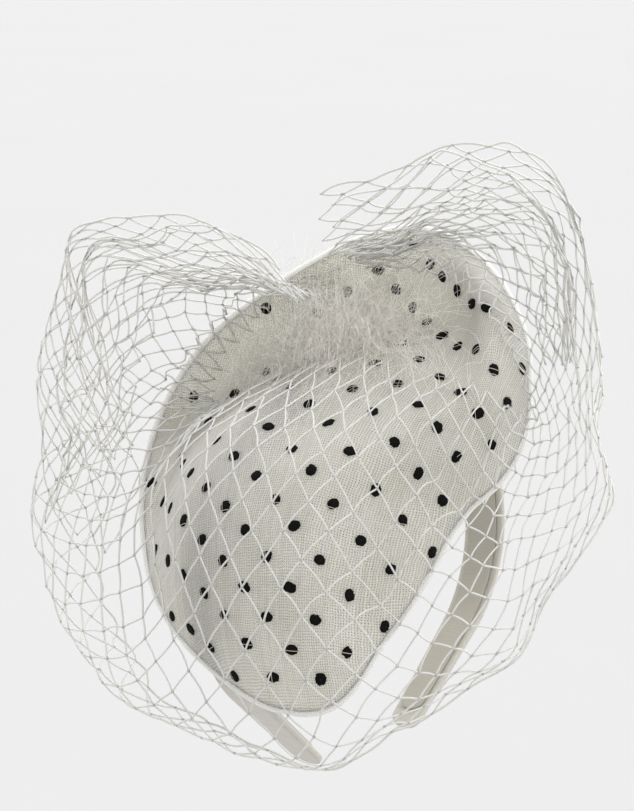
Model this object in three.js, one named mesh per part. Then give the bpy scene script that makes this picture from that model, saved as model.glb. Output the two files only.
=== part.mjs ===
// Dotted straw percher hat on a satin headband, with a gathered net veil and a down tuft.
// Millimetres and degrees. X runs from ear to ear, the wearer faces -Y, and Z is up.
// The origin is the lining of the headband at its top, where it rests on the head.
import * as THREE from 'three';

// Headband
const BAND_HALF_SPAN = 70; // from the middle to the widest place of an arm
const BAND_RISE = 62; // from the widest place up to the top
const BAND_WIDTH = 15;
const BAND_END_WIDTH = 10.5;
const BAND_THICK = 2.2;
const ARM_TURN = 50; // how far an arm turns inwards below its widest place
const ARM_TURN_RADIUS = 42;
const ARM_STRAIGHT = 41; // straight stretch down to the end of an arm
const ARCH_STEPS = 17; // sections of each half of the arch
const TURN_STEPS = 7; // sections of the turn of each arm
const END_LENGTH = 4; // rounded end of an arm
const LINING_WIDTH = 11;
const LINING_THICK = 0.6;
const LINING_SHORT = 6; // the lining stops this far before the end of an arm

// Straw shell of the hat
const HAT_LENGTH = 80; // from the middle to the tip at the front
const CROWN_HEIGHT = 38;
const SHELL_WALL = 1.6;
const HAT_CENTRE = { across: -24.5, front: -9.3, up: -27.2 };
const HAT_SIDE_LEAN = 48.7; // towards the wearer's right
const HAT_FRONT_LEAN = 9.8;
const HAT_TURN = -10.7; // about its own axis
const SHELL_SPOKES = 64;
const SHELL_RINGS = 17;
const BINDING_WIDTH = 1.6; // how far the folded binding stands past the shell
const BINDING_HEIGHT = 2.6; // across the wall of the shell
const TOUCH = 0.3; // gap that touching pieces keep

// Pad that joins the shell to the headband
const PAD_FROM = 14; // bearing on the arch, from the top towards the wearer's right
const PAD_TO = 46;
const PAD_WIDTH = 10;
const PAD_SLOPE = 1.45; // the leaning wall is this much deeper straight down

// Down tuft in the dent of the shell
const TUFT_PLACE = { along: 46, front: 6 };
const TUFT_RADIUS = 11;
const TUFT_HEIGHT = 9;
const TUFT_BED = 0.3; // stitches under the tuft
const TUFT_LOCKS = 14;
const LOCK_LENGTH = 5;

// Net veil
const VEIL_THICK = 1;
const VEIL_GATHER_ROOM = 2.5; // between the locks of the tuft and the gathers
const VEIL_NECK_LIFT = 2.6; // over the shell, where the net is gathered
const VEIL_LIFT = 9; // over the shell, on the way out
const VEIL_CLEAR = 6.8; // least distance over the shell
const VEIL_NECK_SHARE = 0.16; // share of the net's depth in which it leaves the shell
const VEIL_COLUMNS = 40; // half meshes along the net
const VEIL_ROWS = 6; // half meshes from the gathers to the hem
const VEIL_OPEN_FROM = 344; // bearings of the two ends of the net
const VEIL_OPEN_TO = 354;
const MESH_SHARE = 0.8; // share of a mesh that is open

const RAD = Math.PI / 180;

// One spoke of the shell a row, at its bearing from the top of the hat towards the face.
// reach is a share of HAT_LENGTH; the heights are shares of CROWN_HEIGHT, at a quarter,
// a half, 72 and 90 hundredths of the reach, and at the rim.
const SPOKES = [
  { bearing: 0, reach: 0.888, quarter: 0.684, half: 0.447, shoulder: 0.158, edge: 0.342, rim: 0.632 },
  { bearing: 15, reach: 0.963, quarter: 0.684, half: 0.474, shoulder: 0.21, edge: 0.447, rim: 0.658 },
  { bearing: 30, reach: 0.988, quarter: 0.71, half: 0.5, shoulder: 0.29, edge: 0.605, rim: 0.447 },
  { bearing: 45, reach: 0.925, quarter: 0.737, half: 0.553, shoulder: 0.395, edge: 0.58, rim: 0.184 },
  { bearing: 60, reach: 0.831, quarter: 0.763, half: 0.63, shoulder: 0.5, edge: 0.474, rim: 0.08 },
  { bearing: 75, reach: 0.763, quarter: 0.8, half: 0.725, shoulder: 0.59, edge: 0.37, rim: 0.025 },
  { bearing: 88, reach: 0.681, quarter: 0.83, half: 0.775, shoulder: 0.63, edge: 0.33, rim: 0 },
  { bearing: 101, reach: 0.594, quarter: 0.855, half: 0.815, shoulder: 0.66, edge: 0.315, rim: 0 },
  { bearing: 120, reach: 0.594, quarter: 0.895, half: 0.855, shoulder: 0.63, edge: 0.29, rim: 0 },
  { bearing: 150, reach: 0.763, quarter: 0.947, half: 0.895, shoulder: 0.63, edge: 0.265, rim: 0 },
  { bearing: 166, reach: 0.988, quarter: 0.947, half: 0.91, shoulder: 0.63, edge: 0.265, rim: 0 },
  { bearing: 178, reach: 1, quarter: 0.947, half: 0.92, shoulder: 0.66, edge: 0.29, rim: 0 },
  { bearing: 198, reach: 0.913, quarter: 0.947, half: 0.947, shoulder: 0.737, edge: 0.37, rim: 0.025 },
  { bearing: 222, reach: 0.844, quarter: 0.92, half: 0.895, shoulder: 0.71, edge: 0.342, rim: 0.08 },
  { bearing: 246, reach: 0.781, quarter: 0.868, half: 0.79, shoulder: 0.553, edge: 0.21, rim: 0.132 },
  { bearing: 270, reach: 0.756, quarter: 0.79, half: 0.658, shoulder: 0.368, edge: 0.105, rim: 0.21 },
  { bearing: 300, reach: 0.75, quarter: 0.71, half: 0.474, shoulder: 0.158, edge: 0.08, rim: 0.368 },
  { bearing: 330, reach: 0.769, quarter: 0.684, half: 0.395, shoulder: 0.105, edge: 0.132, rim: 0.5 },
  { bearing: 345, reach: 0.806, quarter: 0.684, half: 0.42, shoulder: 0.105, edge: 0.237, rim: 0.58 },
];
const MIDDLE_RISE = 0.775; // height in the middle, a share of CROWN_HEIGHT
const STATIONS = [0, 0.25, 0.5, 0.72, 0.9, 1];

// The net's widest place and its hem, a row for each fold round the hat. Reaches are shares
// of HAT_LENGTH, rises are shares of CROWN_HEIGHT, both from the middle of the shell's rim.
const FOLDS = [
  { bearing: 354, wide: 0.78, rise: 0.95, hem: 0.93, hemRise: 1.2 },
  { bearing: 368, wide: 0.86, rise: 0.97, hem: 0.96, hemRise: 1.24 },
  { bearing: 382, wide: 1.06, rise: 1.02, hem: 1.16, hemRise: 1.32 },
  { bearing: 395, wide: 1.27, rise: 1, hem: 1.32, hemRise: 1.24 },
  { bearing: 409, wide: 1.19, rise: 0.6, hem: 1.17, hemRise: 0.35 },
  { bearing: 422, wide: 1.11, rise: 0.32, hem: 1.09, hemRise: 0 },
  { bearing: 438, wide: 1.05, rise: 0.2, hem: 1.03, hemRise: -0.16 },
  { bearing: 452, wide: 1.03, rise: 0.1, hem: 1.01, hemRise: -0.26 },
  { bearing: 470, wide: 0.99, rise: 0, hem: 0.98, hemRise: -0.32 },
  { bearing: 486, wide: 0.99, rise: -0.1, hem: 0.99, hemRise: -0.42 },
  { bearing: 505, wide: 1, rise: -0.1, hem: 0.98, hemRise: -0.47 },
  { bearing: 527, wide: 1.07, rise: -0.1, hem: 1.05, hemRise: -0.47 },
  { bearing: 542, wide: 1.12, rise: -0.12, hem: 1.09, hemRise: -0.42 },
  { bearing: 557, wide: 1.12, rise: -0.05, hem: 1.04, hemRise: -0.47 },
  { bearing: 572, wide: 1.15, rise: 0.05, hem: 1.03, hemRise: -0.47 },
  { bearing: 587, wide: 1.19, rise: 0.13, hem: 1.05, hemRise: -0.42 },
  { bearing: 600, wide: 1.16, rise: 0.2, hem: 1.03, hemRise: -0.37 },
  { bearing: 614, wide: 1.14, rise: 0.37, hem: 1, hemRise: -0.26 },
  { bearing: 628, wide: 1.14, rise: 0.58, hem: 1, hemRise: -0.1 },
  { bearing: 642, wide: 1.21, rise: 0.79, hem: 1.05, hemRise: 0.1 },
  { bearing: 654, wide: 1.22, rise: 1, hem: 1.15, hemRise: 0.68 },
  { bearing: 663, wide: 1.22, rise: 1.15, hem: 1.29, hemRise: 1.2 },
  { bearing: 675, wide: 0.93, rise: 1.1, hem: 1.04, hemRise: 1.34 },
  { bearing: 690, wide: 0.68, rise: 1.05, hem: 0.75, hemRise: 1.37 },
  { bearing: 704, wide: 0.53, rise: 0.95, hem: 0.58, hemRise: 1.26 },
];

// Smooth curve through values at rising stations, with slopes taken from the neighbours.
function curveThrough(stations, values, at) {
  const last = stations.length - 1;
  let k = 0;
  while (k < last - 1 && at >= stations[k + 1]) k += 1;
  const slope = (n) => {
    const a = Math.max(n - 1, 0);
    const b = Math.min(n + 1, last);
    return (values[b] - values[a]) / (stations[b] - stations[a]);
  };
  const span = stations[k + 1] - stations[k];
  const t = Math.min(Math.max((at - stations[k]) / span, 0), 1);
  const t2 = t * t;
  const t3 = t2 * t;
  return (2 * t3 - 3 * t2 + 1) * values[k] + (t3 - 2 * t2 + t) * span * slope(k)
    + (3 * t2 - 2 * t3) * values[k + 1] + (t3 - t2) * span * slope(k + 1);
}

// Value of one column of the spokes at any bearing, going round without a seam.
function spokeValue(column, bearing) {
  const around = ((bearing % 360) + 360) % 360;
  const rows = [...SPOKES.slice(-2), ...SPOKES, ...SPOKES.slice(0, 3)];
  const turns = rows.map((row, n) => (n < 2 ? -360 : n >= SPOKES.length + 2 ? 360 : 0));
  return curveThrough(rows.map((row, n) => row.bearing + turns[n]), rows.map((row) => row[column]), around);
}

const foldBearings = FOLDS.map((row) => row.bearing);
function foldValue(column, bearing) {
  return curveThrough(foldBearings, FOLDS.map((row) => row[column]), bearing);
}

// How far the straw itself reaches at a bearing; the binding makes up the rest.
const strawReach = (bearing) => HAT_LENGTH * spokeValue('reach', bearing) - BINDING_WIDTH - TOUCH;

// Height of the shell's outer face over the plane of its rim, at a share of the reach.
function shellHeight(bearing, share) {
  const reach = spokeValue('reach', bearing);
  const behind = spokeValue('reach', bearing + 180);
  const stations = [-STATIONS[1] * behind / reach, ...STATIONS];
  const rises = ['quarter', 'half', 'shoulder', 'edge', 'rim'].map((column) => spokeValue(column, bearing));
  const values = [spokeValue('quarter', bearing + 180), MIDDLE_RISE, ...rises];
  return CROWN_HEIGHT * curveThrough(stations, values, share);
}

// Height of the shell over any place of the rim's plane, and how far out that place is.
function shellAt(along, front) {
  const bearing = Math.atan2(front, along) / RAD;
  const share = Math.hypot(along, front) / strawReach(bearing);
  return { share, height: shellHeight(bearing, Math.min(share, 1)) };
}

// The hat's own frame: along its length to the top, to the front, and out from the head.
const outward = new THREE.Vector3(
  -Math.sin(HAT_SIDE_LEAN * RAD) * Math.cos(HAT_FRONT_LEAN * RAD),
  -Math.sin(HAT_FRONT_LEAN * RAD),
  Math.cos(HAT_SIDE_LEAN * RAD) * Math.cos(HAT_FRONT_LEAN * RAD),
);
const along0 = new THREE.Vector3(0, 1, 0).cross(outward).normalize();
const alongWay = along0.clone().applyAxisAngle(outward, -HAT_TURN * RAD);
const frontWay = alongWay.clone().cross(outward).normalize();
const hatFrame = new THREE.Group();
const frameMatrix = new THREE.Matrix4().makeBasis(alongWay, frontWay.clone().negate(), outward);
hatFrame.setRotationFromMatrix(frameMatrix);
const liningDepth = BAND_THICK / 2 + TOUCH + LINING_THICK; // from the lining to mid band
hatFrame.position.set(HAT_CENTRE.across, HAT_CENTRE.front, HAT_CENTRE.up);
hatFrame.updateMatrixWorld(true);

// Point of the hat's frame: x along its length, y to the back, z out from the head.
const hatPoint = (along, front, height) => new THREE.Vector3(along, -front, height);

// Closed body between two grids of points that match, wrapped round in the first direction
// or not. Each grid is a list of rows of points.
function sheetBody(outer, inner, wraps) {
  const positions = [];
  const put = (a, b, c) => {
    if (a.distanceTo(b) < 1e-6 || b.distanceTo(c) < 1e-6 || a.distanceTo(c) < 1e-6) return;
    positions.push(...a.toArray(), ...b.toArray(), ...c.toArray());
  };
  const quad = (a, b, c, d) => {
    put(a, b, c);
    put(a, c, d);
  };
  const columns = outer[0].length;
  const steps = wraps ? columns : columns - 1;
  const lastRow = outer.length - 1;
  for (let row = 0; row < lastRow; row += 1) {
    for (let k = 0; k < steps; k += 1) {
      const n = (k + 1) % columns;
      quad(outer[row][k], outer[row + 1][k], outer[row + 1][n], outer[row][n]);
      quad(inner[row][n], inner[row + 1][n], inner[row + 1][k], inner[row][k]);
    }
  }
  for (let k = 0; k < steps; k += 1) {
    const n = (k + 1) % columns;
    quad(outer[lastRow][k], inner[lastRow][k], inner[lastRow][n], outer[lastRow][n]);
    quad(outer[0][n], inner[0][n], inner[0][k], outer[0][k]);
  }
  if (!wraps) {
    for (let row = 0; row < lastRow; row += 1) {
      const end = columns - 1;
      quad(outer[row][0], inner[row][0], inner[row + 1][0], outer[row + 1][0]);
      quad(outer[row + 1][end], inner[row + 1][end], inner[row][end], outer[row][end]);
    }
  }
  return fromTriangles(positions);
}

// Mesh of loose triangles, all turned so that the faces of the closed body point outwards.
function fromTriangles(positions) {
  let volume = 0;
  const at = (k) => new THREE.Vector3().fromArray(positions, k);
  for (let k = 0; k < positions.length; k += 9) volume += at(k).dot(at(k + 3).cross(at(k + 6)));
  if (volume < 0) {
    for (let k = 0; k < positions.length; k += 9) {
      for (let n = 0; n < 3; n += 1) {
        [positions[k + 3 + n], positions[k + 6 + n]] = [positions[k + 6 + n], positions[k + 3 + n]];
      }
    }
  }
  const geometry = new THREE.BufferGeometry();
  geometry.setAttribute('position', new THREE.Float32BufferAttribute(positions, 3));
  geometry.computeVertexNormals();
  return geometry;
}

// Closed body through a list of ring sections that have the same number of points.
function loftBody(sections, closed) {
  const positions = [];
  const put = (a, b, c) => positions.push(...a.toArray(), ...b.toArray(), ...c.toArray());
  const count = sections[0].length;
  const spans = closed ? sections.length : sections.length - 1;
  for (let s = 0; s < spans; s += 1) {
    const here = sections[s];
    const next = sections[(s + 1) % sections.length];
    for (let k = 0; k < count; k += 1) {
      const n = (k + 1) % count;
      put(here[k], here[n], next[n]);
      put(here[k], next[n], next[k]);
    }
  }
  if (!closed) {
    const last = sections[sections.length - 1];
    for (let k = 1; k < count - 1; k += 1) {
      put(sections[0][0], sections[0][k + 1], sections[0][k]);
      put(last[0], last[k], last[k + 1]);
    }
  }
  return fromTriangles(positions);
}

// Face normal of a surface given by a function, by small steps in both directions.
function normalOf(surface, u, v, stepU, stepV) {
  const du = surface(u + stepU, v).sub(surface(u - stepU, v));
  const dv = surface(u, v + stepV).sub(surface(u, v - stepV));
  return du.cross(dv).normalize();
}

// Outer face of the shell.
function shellFace(bearing, share) {
  const radius = strawReach(bearing) * share;
  const height = shellHeight(bearing, share);
  return hatPoint(radius * Math.cos(bearing * RAD), radius * Math.sin(bearing * RAD), height);
}

// Straw shell, open underneath, with one wall all over.
function makeShell() {
  const outer = [];
  const inner = [];
  for (let ring = 0; ring <= SHELL_RINGS; ring += 1) {
    const share = ring / SHELL_RINGS;
    const outerRow = [];
    const innerRow = [];
    for (let k = 0; k < SHELL_SPOKES; k += 1) {
      const bearing = -360 * k / SHELL_SPOKES;
      const point = shellFace(bearing, share);
      const probe = Math.min(Math.max(share, 0.05), 0.985);
      const normal = normalOf(shellFace, bearing, probe, 1, 0.015);
      if (ring === 0) normal.set(0, 0, 1);
      if (normal.z < 0) normal.negate();
      outerRow.push(point);
      innerRow.push(point.clone().addScaledVector(normal, -SHELL_WALL));
    }
    outer.push(outerRow);
    inner.push(innerRow);
  }
  return sheetBody(outer, inner, true);
}

// Folded straw binding that runs round the edge of the shell.
function makeBinding() {
  const sections = [];
  for (let k = 0; k < SHELL_SPOKES; k += 1) {
    const bearing = -360 * k / SHELL_SPOKES;
    const normal = normalOf(shellFace, bearing, 0.985, 1, 0.015);
    if (normal.z < 0) normal.negate();
    const rim = shellFace(bearing, 1);
    const away = rim.clone().sub(shellFace(bearing, 0.97)).normalize();
    const middle = rim.addScaledVector(normal, -SHELL_WALL / 2);
    middle.addScaledVector(away, TOUCH + BINDING_WIDTH / 2);
    const ring = [];
    for (let n = 0; n < 8; n += 1) {
      const angle = n * 45 * RAD;
      const point = middle.clone().addScaledVector(away, Math.cos(angle) * BINDING_WIDTH / 2);
      ring.push(point.addScaledVector(normal, Math.sin(angle) * BINDING_HEIGHT / 2));
    }
    sections.push(ring);
  }
  return loftBody(sections, true);
}

// Mid line of the headband from its top down the wearer's right arm, with the way out from
// the head, the way along and the width there.
function bandStation(part, share) {
  const straight = new THREE.Vector2();
  const out = new THREE.Vector2();
  let width = BAND_WIDTH;
  const taper = (run) => BAND_WIDTH + (BAND_END_WIDTH - BAND_WIDTH) * run / armLength;
  const turn = ARM_TURN * RAD;
  const turnLength = ARM_TURN_RADIUS * turn;
  const armLength = turnLength + ARM_STRAIGHT;
  if (part === 'arch') {
    const angle = share * 90 * RAD;
    straight.set(BAND_HALF_SPAN * Math.sin(angle), BAND_RISE * (Math.cos(angle) - 1));
    out.set(Math.sin(angle) / BAND_HALF_SPAN, Math.cos(angle) / BAND_RISE).normalize();
  } else if (part === 'turn') {
    const angle = share * turn;
    straight.set(
      BAND_HALF_SPAN - ARM_TURN_RADIUS * (1 - Math.cos(angle)),
      -BAND_RISE - ARM_TURN_RADIUS * Math.sin(angle),
    );
    out.set(Math.cos(angle), -Math.sin(angle));
    width = taper(share * turnLength);
  } else {
    const run = share * ARM_STRAIGHT;
    straight.set(
      BAND_HALF_SPAN - ARM_TURN_RADIUS * (1 - Math.cos(turn)) - run * Math.sin(turn),
      -BAND_RISE - ARM_TURN_RADIUS * Math.sin(turn) - run * Math.cos(turn),
    );
    out.set(Math.cos(turn), -Math.sin(turn));
    width = taper(turnLength + run);
  }
  return { x: straight.x, z: straight.y + liningDepth, outX: out.x, outZ: out.y, width };
}

// Stations of a strip on the headband: both arms, from the wearer's left end over the top
// to the wearer's right end, stopping short of the ends.
function bandStations(shortBy, endLength) {
  const arm = [];
  for (let k = 0; k <= ARCH_STEPS; k += 1) arm.push(bandStation('arch', k / ARCH_STEPS));
  for (let k = 1; k <= TURN_STEPS; k += 1) arm.push(bandStation('turn', k / TURN_STEPS));
  const stop = 1 - shortBy / ARM_STRAIGHT;
  const rounding = endLength / ARM_STRAIGHT;
  arm.push(bandStation('straight', stop / 3));
  arm.push(bandStation('straight', stop * 2 / 3));
  for (const [back, narrow] of [[1, 1], [0.45, 0.9], [0.12, 0.68], [0, 0.4]]) {
    const station = bandStation('straight', stop - rounding * back);
    station.width *= narrow;
    arm.push(station);
  }
  const mirrored = arm.slice(1).reverse();
  return [
    ...mirrored.map((s) => ({ ...s, side: 1 })),
    ...arm.map((s) => ({ ...s, side: -1 })),
  ];
}

// Strip of a width and thickness at a depth inside the band's mid line, with soft edges.
function bandStrip(stations, widthOf, thick, depth) {
  const sections = stations.map((s) => {
    const half = widthOf(s) / 2;
    const bevel = Math.min(thick * 0.42, half * 0.5);
    const corner = thick / 2;
    const ring = [
      [-half, corner - bevel], [-half + bevel, corner], [half - bevel, corner], [half, corner - bevel],
      [half, -corner + bevel], [half - bevel, -corner], [-half + bevel, -corner], [-half, -corner + bevel],
    ];
    return ring.map(([across, out]) => new THREE.Vector3(
      s.side * (s.x + s.outX * (out - depth)),
      across,
      s.z + s.outZ * (out - depth),
    ));
  });
  return loftBody(sections, false);
}

// Pad between the outside of the headband and the inside of the shell.
function makePad() {
  const toHat = hatFrame.matrixWorld.clone().invert();
  const fromHat = hatFrame.matrixWorld;
  const steps = 8;
  const across = 4;
  const low = [];
  const high = [];
  for (let k = 0; k <= steps; k += 1) {
    const s = bandStation('arch', (PAD_FROM + (PAD_TO - PAD_FROM) * k / steps) / 90);
    const lowRow = [];
    const highRow = [];
    for (let n = 0; n <= across; n += 1) {
      const side = PAD_WIDTH * (n / across - 0.5);
      const lift = BAND_THICK / 2 + TOUCH;
      const foot = new THREE.Vector3(-(s.x + s.outX * lift), side, s.z + s.outZ * lift);
      const inHat = foot.clone().applyMatrix4(toHat);
      const roof = shellAt(inHat.x, -inHat.y).height - SHELL_WALL * PAD_SLOPE - TOUCH;
      const head = hatPoint(inHat.x, -inHat.y, Math.max(roof, inHat.z + 0.25)).applyMatrix4(fromHat);
      lowRow.push(foot);
      highRow.push(head);
    }
    low.push(lowRow);
    high.push(highRow);
  }
  return sheetBody(high, low, false);
}

// Tuft of down: a low round head with locks that lean out of it.
function makeTuft() {
  const rings = 7;
  const around = TUFT_LOCKS * 4;
  const foot = shellAt(TUFT_PLACE.along, TUFT_PLACE.front).height;
  const outer = [];
  const inner = [];
  for (let ring = 0; ring <= rings; ring += 1) {
    const lean = 90 * ring / rings * RAD;
    const outerRow = [];
    const innerRow = [];
    for (let k = 0; k < around; k += 1) {
      const bearing = -360 * k / around * RAD;
      const lock = 0.5 + 0.5 * Math.cos(bearing * TUFT_LOCKS);
      const stretch = TUFT_RADIUS + LOCK_LENGTH * lock * Math.sin(lean) ** 2;
      const radius = stretch * Math.sin(lean);
      const along = TUFT_PLACE.along + radius * Math.cos(bearing);
      const front = TUFT_PLACE.front + radius * Math.sin(bearing);
      const bed = Math.max(shellAt(along, front).height, foot - TUFT_HEIGHT) + TOUCH + TUFT_BED;
      outerRow.push(hatPoint(along, front, bed + 0.8 + TUFT_HEIGHT * Math.cos(lean)));
      innerRow.push(hatPoint(along, front, bed));
    }
    outer.push(outerRow);
    inner.push(innerRow);
  }
  return sheetBody(outer, inner, true);
}

// Inner face of the veil: out from the gathers, over the shell, to the widest place and
// down or up to the hem.
function veilFace(bearing, share) {
  const ways = { x: Math.cos(bearing * RAD), y: Math.sin(bearing * RAD) };
  const wide = HAT_LENGTH * foldValue('wide', bearing);
  const hem = HAT_LENGTH * foldValue('hem', bearing);
  const gathers = TUFT_RADIUS + LOCK_LENGTH + VEIL_GATHER_ROOM;
  const neck = {
    along: TUFT_PLACE.along + gathers * ways.x,
    front: TUFT_PLACE.front + gathers * ways.y,
  };
  const over = (mix) => ({
    along: neck.along + (wide * ways.x - neck.along) * mix,
    front: neck.front + (wide * ways.y - neck.front) * mix,
  });
  const stops = [0, 0.25, 0.5, 0.78, 1];
  const plan = [neck, over(0.38), over(0.72), over(1), { along: hem * ways.x, front: hem * ways.y }];
  const top = (p, lift) => shellAt(p.along, p.front).height + lift;
  const wideRise = CROWN_HEIGHT * foldValue('rise', bearing);
  const heights = [
    top(neck, VEIL_NECK_LIFT),
    Math.max(top(plan[1], VEIL_LIFT), wideRise * 0.4),
    Math.max(top(plan[2], VEIL_LIFT), wideRise * 0.75),
    wideRise,
    CROWN_HEIGHT * foldValue('hemRise', bearing),
  ];
  const along = curveThrough(stops, plan.map((p) => p.along), share);
  const front = curveThrough(stops, plan.map((p) => p.front), share);
  const height = curveThrough(stops, heights, share);
  const under = shellAt(along, front);
  const leave = Math.min(Math.max(share / VEIL_NECK_SHARE, 0), 1);
  const clear = VEIL_NECK_LIFT + (VEIL_CLEAR - VEIL_NECK_LIFT) * leave;
  const floor = under.share < 1.04 ? under.height + clear : -Infinity;
  return hatPoint(along, front, Math.max(height, floor));
}

// Net veil, with its meshes cut through as diamonds and a whole selvedge all round.
function makeVeil() {
  const bearingOf = (column) => VEIL_OPEN_TO + (VEIL_OPEN_FROM + 360 - VEIL_OPEN_TO) * column / VEIL_COLUMNS;
  const inner = (column, row) => veilFace(bearingOf(column), row / VEIL_ROWS);
  const outer = (column, row) => {
    const c = Math.min(Math.max(column, 0.5), VEIL_COLUMNS - 0.5);
    const r = Math.min(Math.max(row, 0.3), VEIL_ROWS - 0.3);
    const normal = normalOf(inner, c, r, 0.4, 0.25).negate();
    return inner(column, row).addScaledVector(normal, VEIL_THICK);
  };
  const positions = [];
  const put = (a, b, c) => positions.push(...a.toArray(), ...b.toArray(), ...c.toArray());
  const quad = (a, b, c, d) => {
    put(a, b, c);
    put(a, c, d);
  };
  const inRange = ([c, r]) => c >= 0 && c <= VEIL_COLUMNS && r >= 0 && r <= VEIL_ROWS;
  for (let c = 0; c <= VEIL_COLUMNS; c += 1) {
    for (let r = 0; r <= VEIL_ROWS; r += 1) {
      if ((c + r) % 2 === 0) continue;
      const corners = [[c - 1, r], [c, r + 1], [c + 1, r], [c, r - 1]].filter(inRange);
      const top = corners.map(([x, y]) => outer(x, y));
      const low = corners.map(([x, y]) => inner(x, y));
      if (corners.length === 4) {
        const shrink = (points) => {
          const middle = points.reduce((sum, p) => sum.add(p), new THREE.Vector3()).multiplyScalar(0.25);
          return points.map((p) => middle.clone().lerp(p, MESH_SHARE));
        };
        const holeTop = shrink(top);
        const holeLow = shrink(low);
        for (let k = 0; k < 4; k += 1) {
          const n = (k + 1) % 4;
          quad(top[k], top[n], holeTop[n], holeTop[k]);
          quad(low[n], low[k], holeLow[k], holeLow[n]);
          quad(holeTop[k], holeTop[n], holeLow[n], holeLow[k]);
        }
      } else {
        put(top[0], top[1], top[2]);
        put(low[0], low[2], low[1]);
      }
    }
  }
  const wall = (a, b) => quad(outer(...a), outer(...b), inner(...b), inner(...a));
  for (let c = 0; c < VEIL_COLUMNS; c += 2) {
    wall([c + 2, VEIL_ROWS], [c, VEIL_ROWS]);
    wall([c, 0], [c + 2, 0]);
  }
  for (let r = 0; r < VEIL_ROWS; r += 2) {
    wall([0, r + 2], [0, r]);
    wall([VEIL_COLUMNS, r], [VEIL_COLUMNS, r + 2]);
  }
  return fromTriangles(positions);
}

function piece(name, geometry, color, roughness) {
  const material = new THREE.MeshStandardMaterial({ color, roughness, metalness: 0 });
  const mesh = new THREE.Mesh(geometry, material);
  mesh.name = name;
  return mesh;
}

const fascinator = new THREE.Group();
const bandRuns = bandStations(0, END_LENGTH);
const liningRuns = bandStations(LINING_SHORT, END_LENGTH);
const liningWidth = (s) => LINING_WIDTH * s.width / BAND_WIDTH;
const liningMid = (BAND_THICK + LINING_THICK) / 2 + TOUCH;
fascinator.add(
  piece('headband', bandStrip(bandRuns, (s) => s.width, BAND_THICK, 0), 0xcfcabd, 0.45),
  piece('headband_lining', bandStrip(liningRuns, liningWidth, LINING_THICK, liningMid), 0xaca89d, 0.8),
  piece('mounting_pad', makePad(), 0xd6d2c8, 0.9),
);
hatFrame.add(
  piece('sinamay_shell', makeShell(), 0xd9d5ca, 0.85),
  piece('rim_binding', makeBinding(), 0xdedacf, 0.85),
  piece('veil_net', makeVeil(), 0xd8d8d6, 0.6),
  piece('down_tuft', makeTuft(), 0xe8e4d8, 0.95),
);
fascinator.add(hatFrame);

export default fascinator;
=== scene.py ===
from math import cos, pi, radians, sin

import bmesh
import bpy
import numpy as np
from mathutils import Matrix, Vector


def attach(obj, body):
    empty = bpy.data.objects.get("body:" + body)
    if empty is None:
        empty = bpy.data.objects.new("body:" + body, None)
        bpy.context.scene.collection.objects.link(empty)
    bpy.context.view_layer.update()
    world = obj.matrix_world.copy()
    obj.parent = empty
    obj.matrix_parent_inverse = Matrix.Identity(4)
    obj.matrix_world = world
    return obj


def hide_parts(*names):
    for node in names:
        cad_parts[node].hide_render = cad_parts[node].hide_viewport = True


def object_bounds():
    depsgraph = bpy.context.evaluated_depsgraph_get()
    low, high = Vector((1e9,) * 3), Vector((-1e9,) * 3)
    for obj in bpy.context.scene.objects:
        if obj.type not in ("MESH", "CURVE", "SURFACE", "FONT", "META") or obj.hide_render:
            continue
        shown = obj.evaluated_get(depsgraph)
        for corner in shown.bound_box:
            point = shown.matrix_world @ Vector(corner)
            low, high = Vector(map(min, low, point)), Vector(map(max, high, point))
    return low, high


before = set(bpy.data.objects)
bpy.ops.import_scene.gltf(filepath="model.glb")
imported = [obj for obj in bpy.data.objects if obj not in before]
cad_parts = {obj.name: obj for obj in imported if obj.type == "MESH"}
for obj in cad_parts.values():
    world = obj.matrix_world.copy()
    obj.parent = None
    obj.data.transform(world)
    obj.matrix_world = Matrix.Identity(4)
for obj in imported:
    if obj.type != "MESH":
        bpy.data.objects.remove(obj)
cad_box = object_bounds()

# Camera, floor and light
# The hat is seen from the wearer's right and a little from above, held up as when it is worn.
# The floor is a plain pale sheet well below it, in a pale room with two wide soft lights.
PHOTO_WIDTH = 634
FOCAL_PIXELS = 3200
AIM = Vector((-0.00068, 0.01579, -0.01177))
TOWARDS_CAMERA = Vector((-0.7819, -0.5956, 0.1840))
CAMERA_AWAY = 1.0
SENSOR_WIDTH = 36

camera_data = bpy.data.cameras.new("photo_view")
camera_data.sensor_fit = "HORIZONTAL"
camera_data.sensor_width = SENSOR_WIDTH
camera_data.lens = SENSOR_WIDTH * FOCAL_PIXELS / PHOTO_WIDTH
camera = bpy.data.objects.new("photo_view", camera_data)
camera.location = AIM + CAMERA_AWAY * TOWARDS_CAMERA
camera.rotation_euler = TOWARDS_CAMERA.to_track_quat("Z", "Y").to_euler()
bpy.context.collection.objects.link(camera)
bpy.context.scene.camera = camera
bpy.context.scene.view_settings.view_transform = "Standard"


def linear(hex_colour):
    """The linear colour of an sRGB hex value."""
    shares = [int(hex_colour[k : k + 2], 16) / 255 for k in (1, 3, 5)]
    return [s / 12.92 if s <= 0.04045 else ((s + 0.055) / 1.055) ** 2.4 for s in shares] + [1]


def put(tree, kind, links=None, **settings):
    """Add one node with its settings, and give each input a value or another node's socket."""
    made = tree.nodes.new(kind)
    for name, value in settings.items():
        setattr(made, name, value)
    for name, value in (links or {}).items():
        if isinstance(value, bpy.types.NodeSocket):
            tree.links.new(value, made.inputs[name])
        else:
            made.inputs[name].default_value = value
    return made


def new_finish(name):
    """An empty material, its tree and its shader."""
    finish = bpy.data.materials.new(name)
    finish.use_nodes = True
    tree = finish.node_tree
    tree.nodes.clear()
    shader = put(tree, "ShaderNodeBsdfPrincipled")
    put(tree, "ShaderNodeOutputMaterial", {"Surface": shader.outputs[0]})
    return finish, tree, shader


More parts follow.
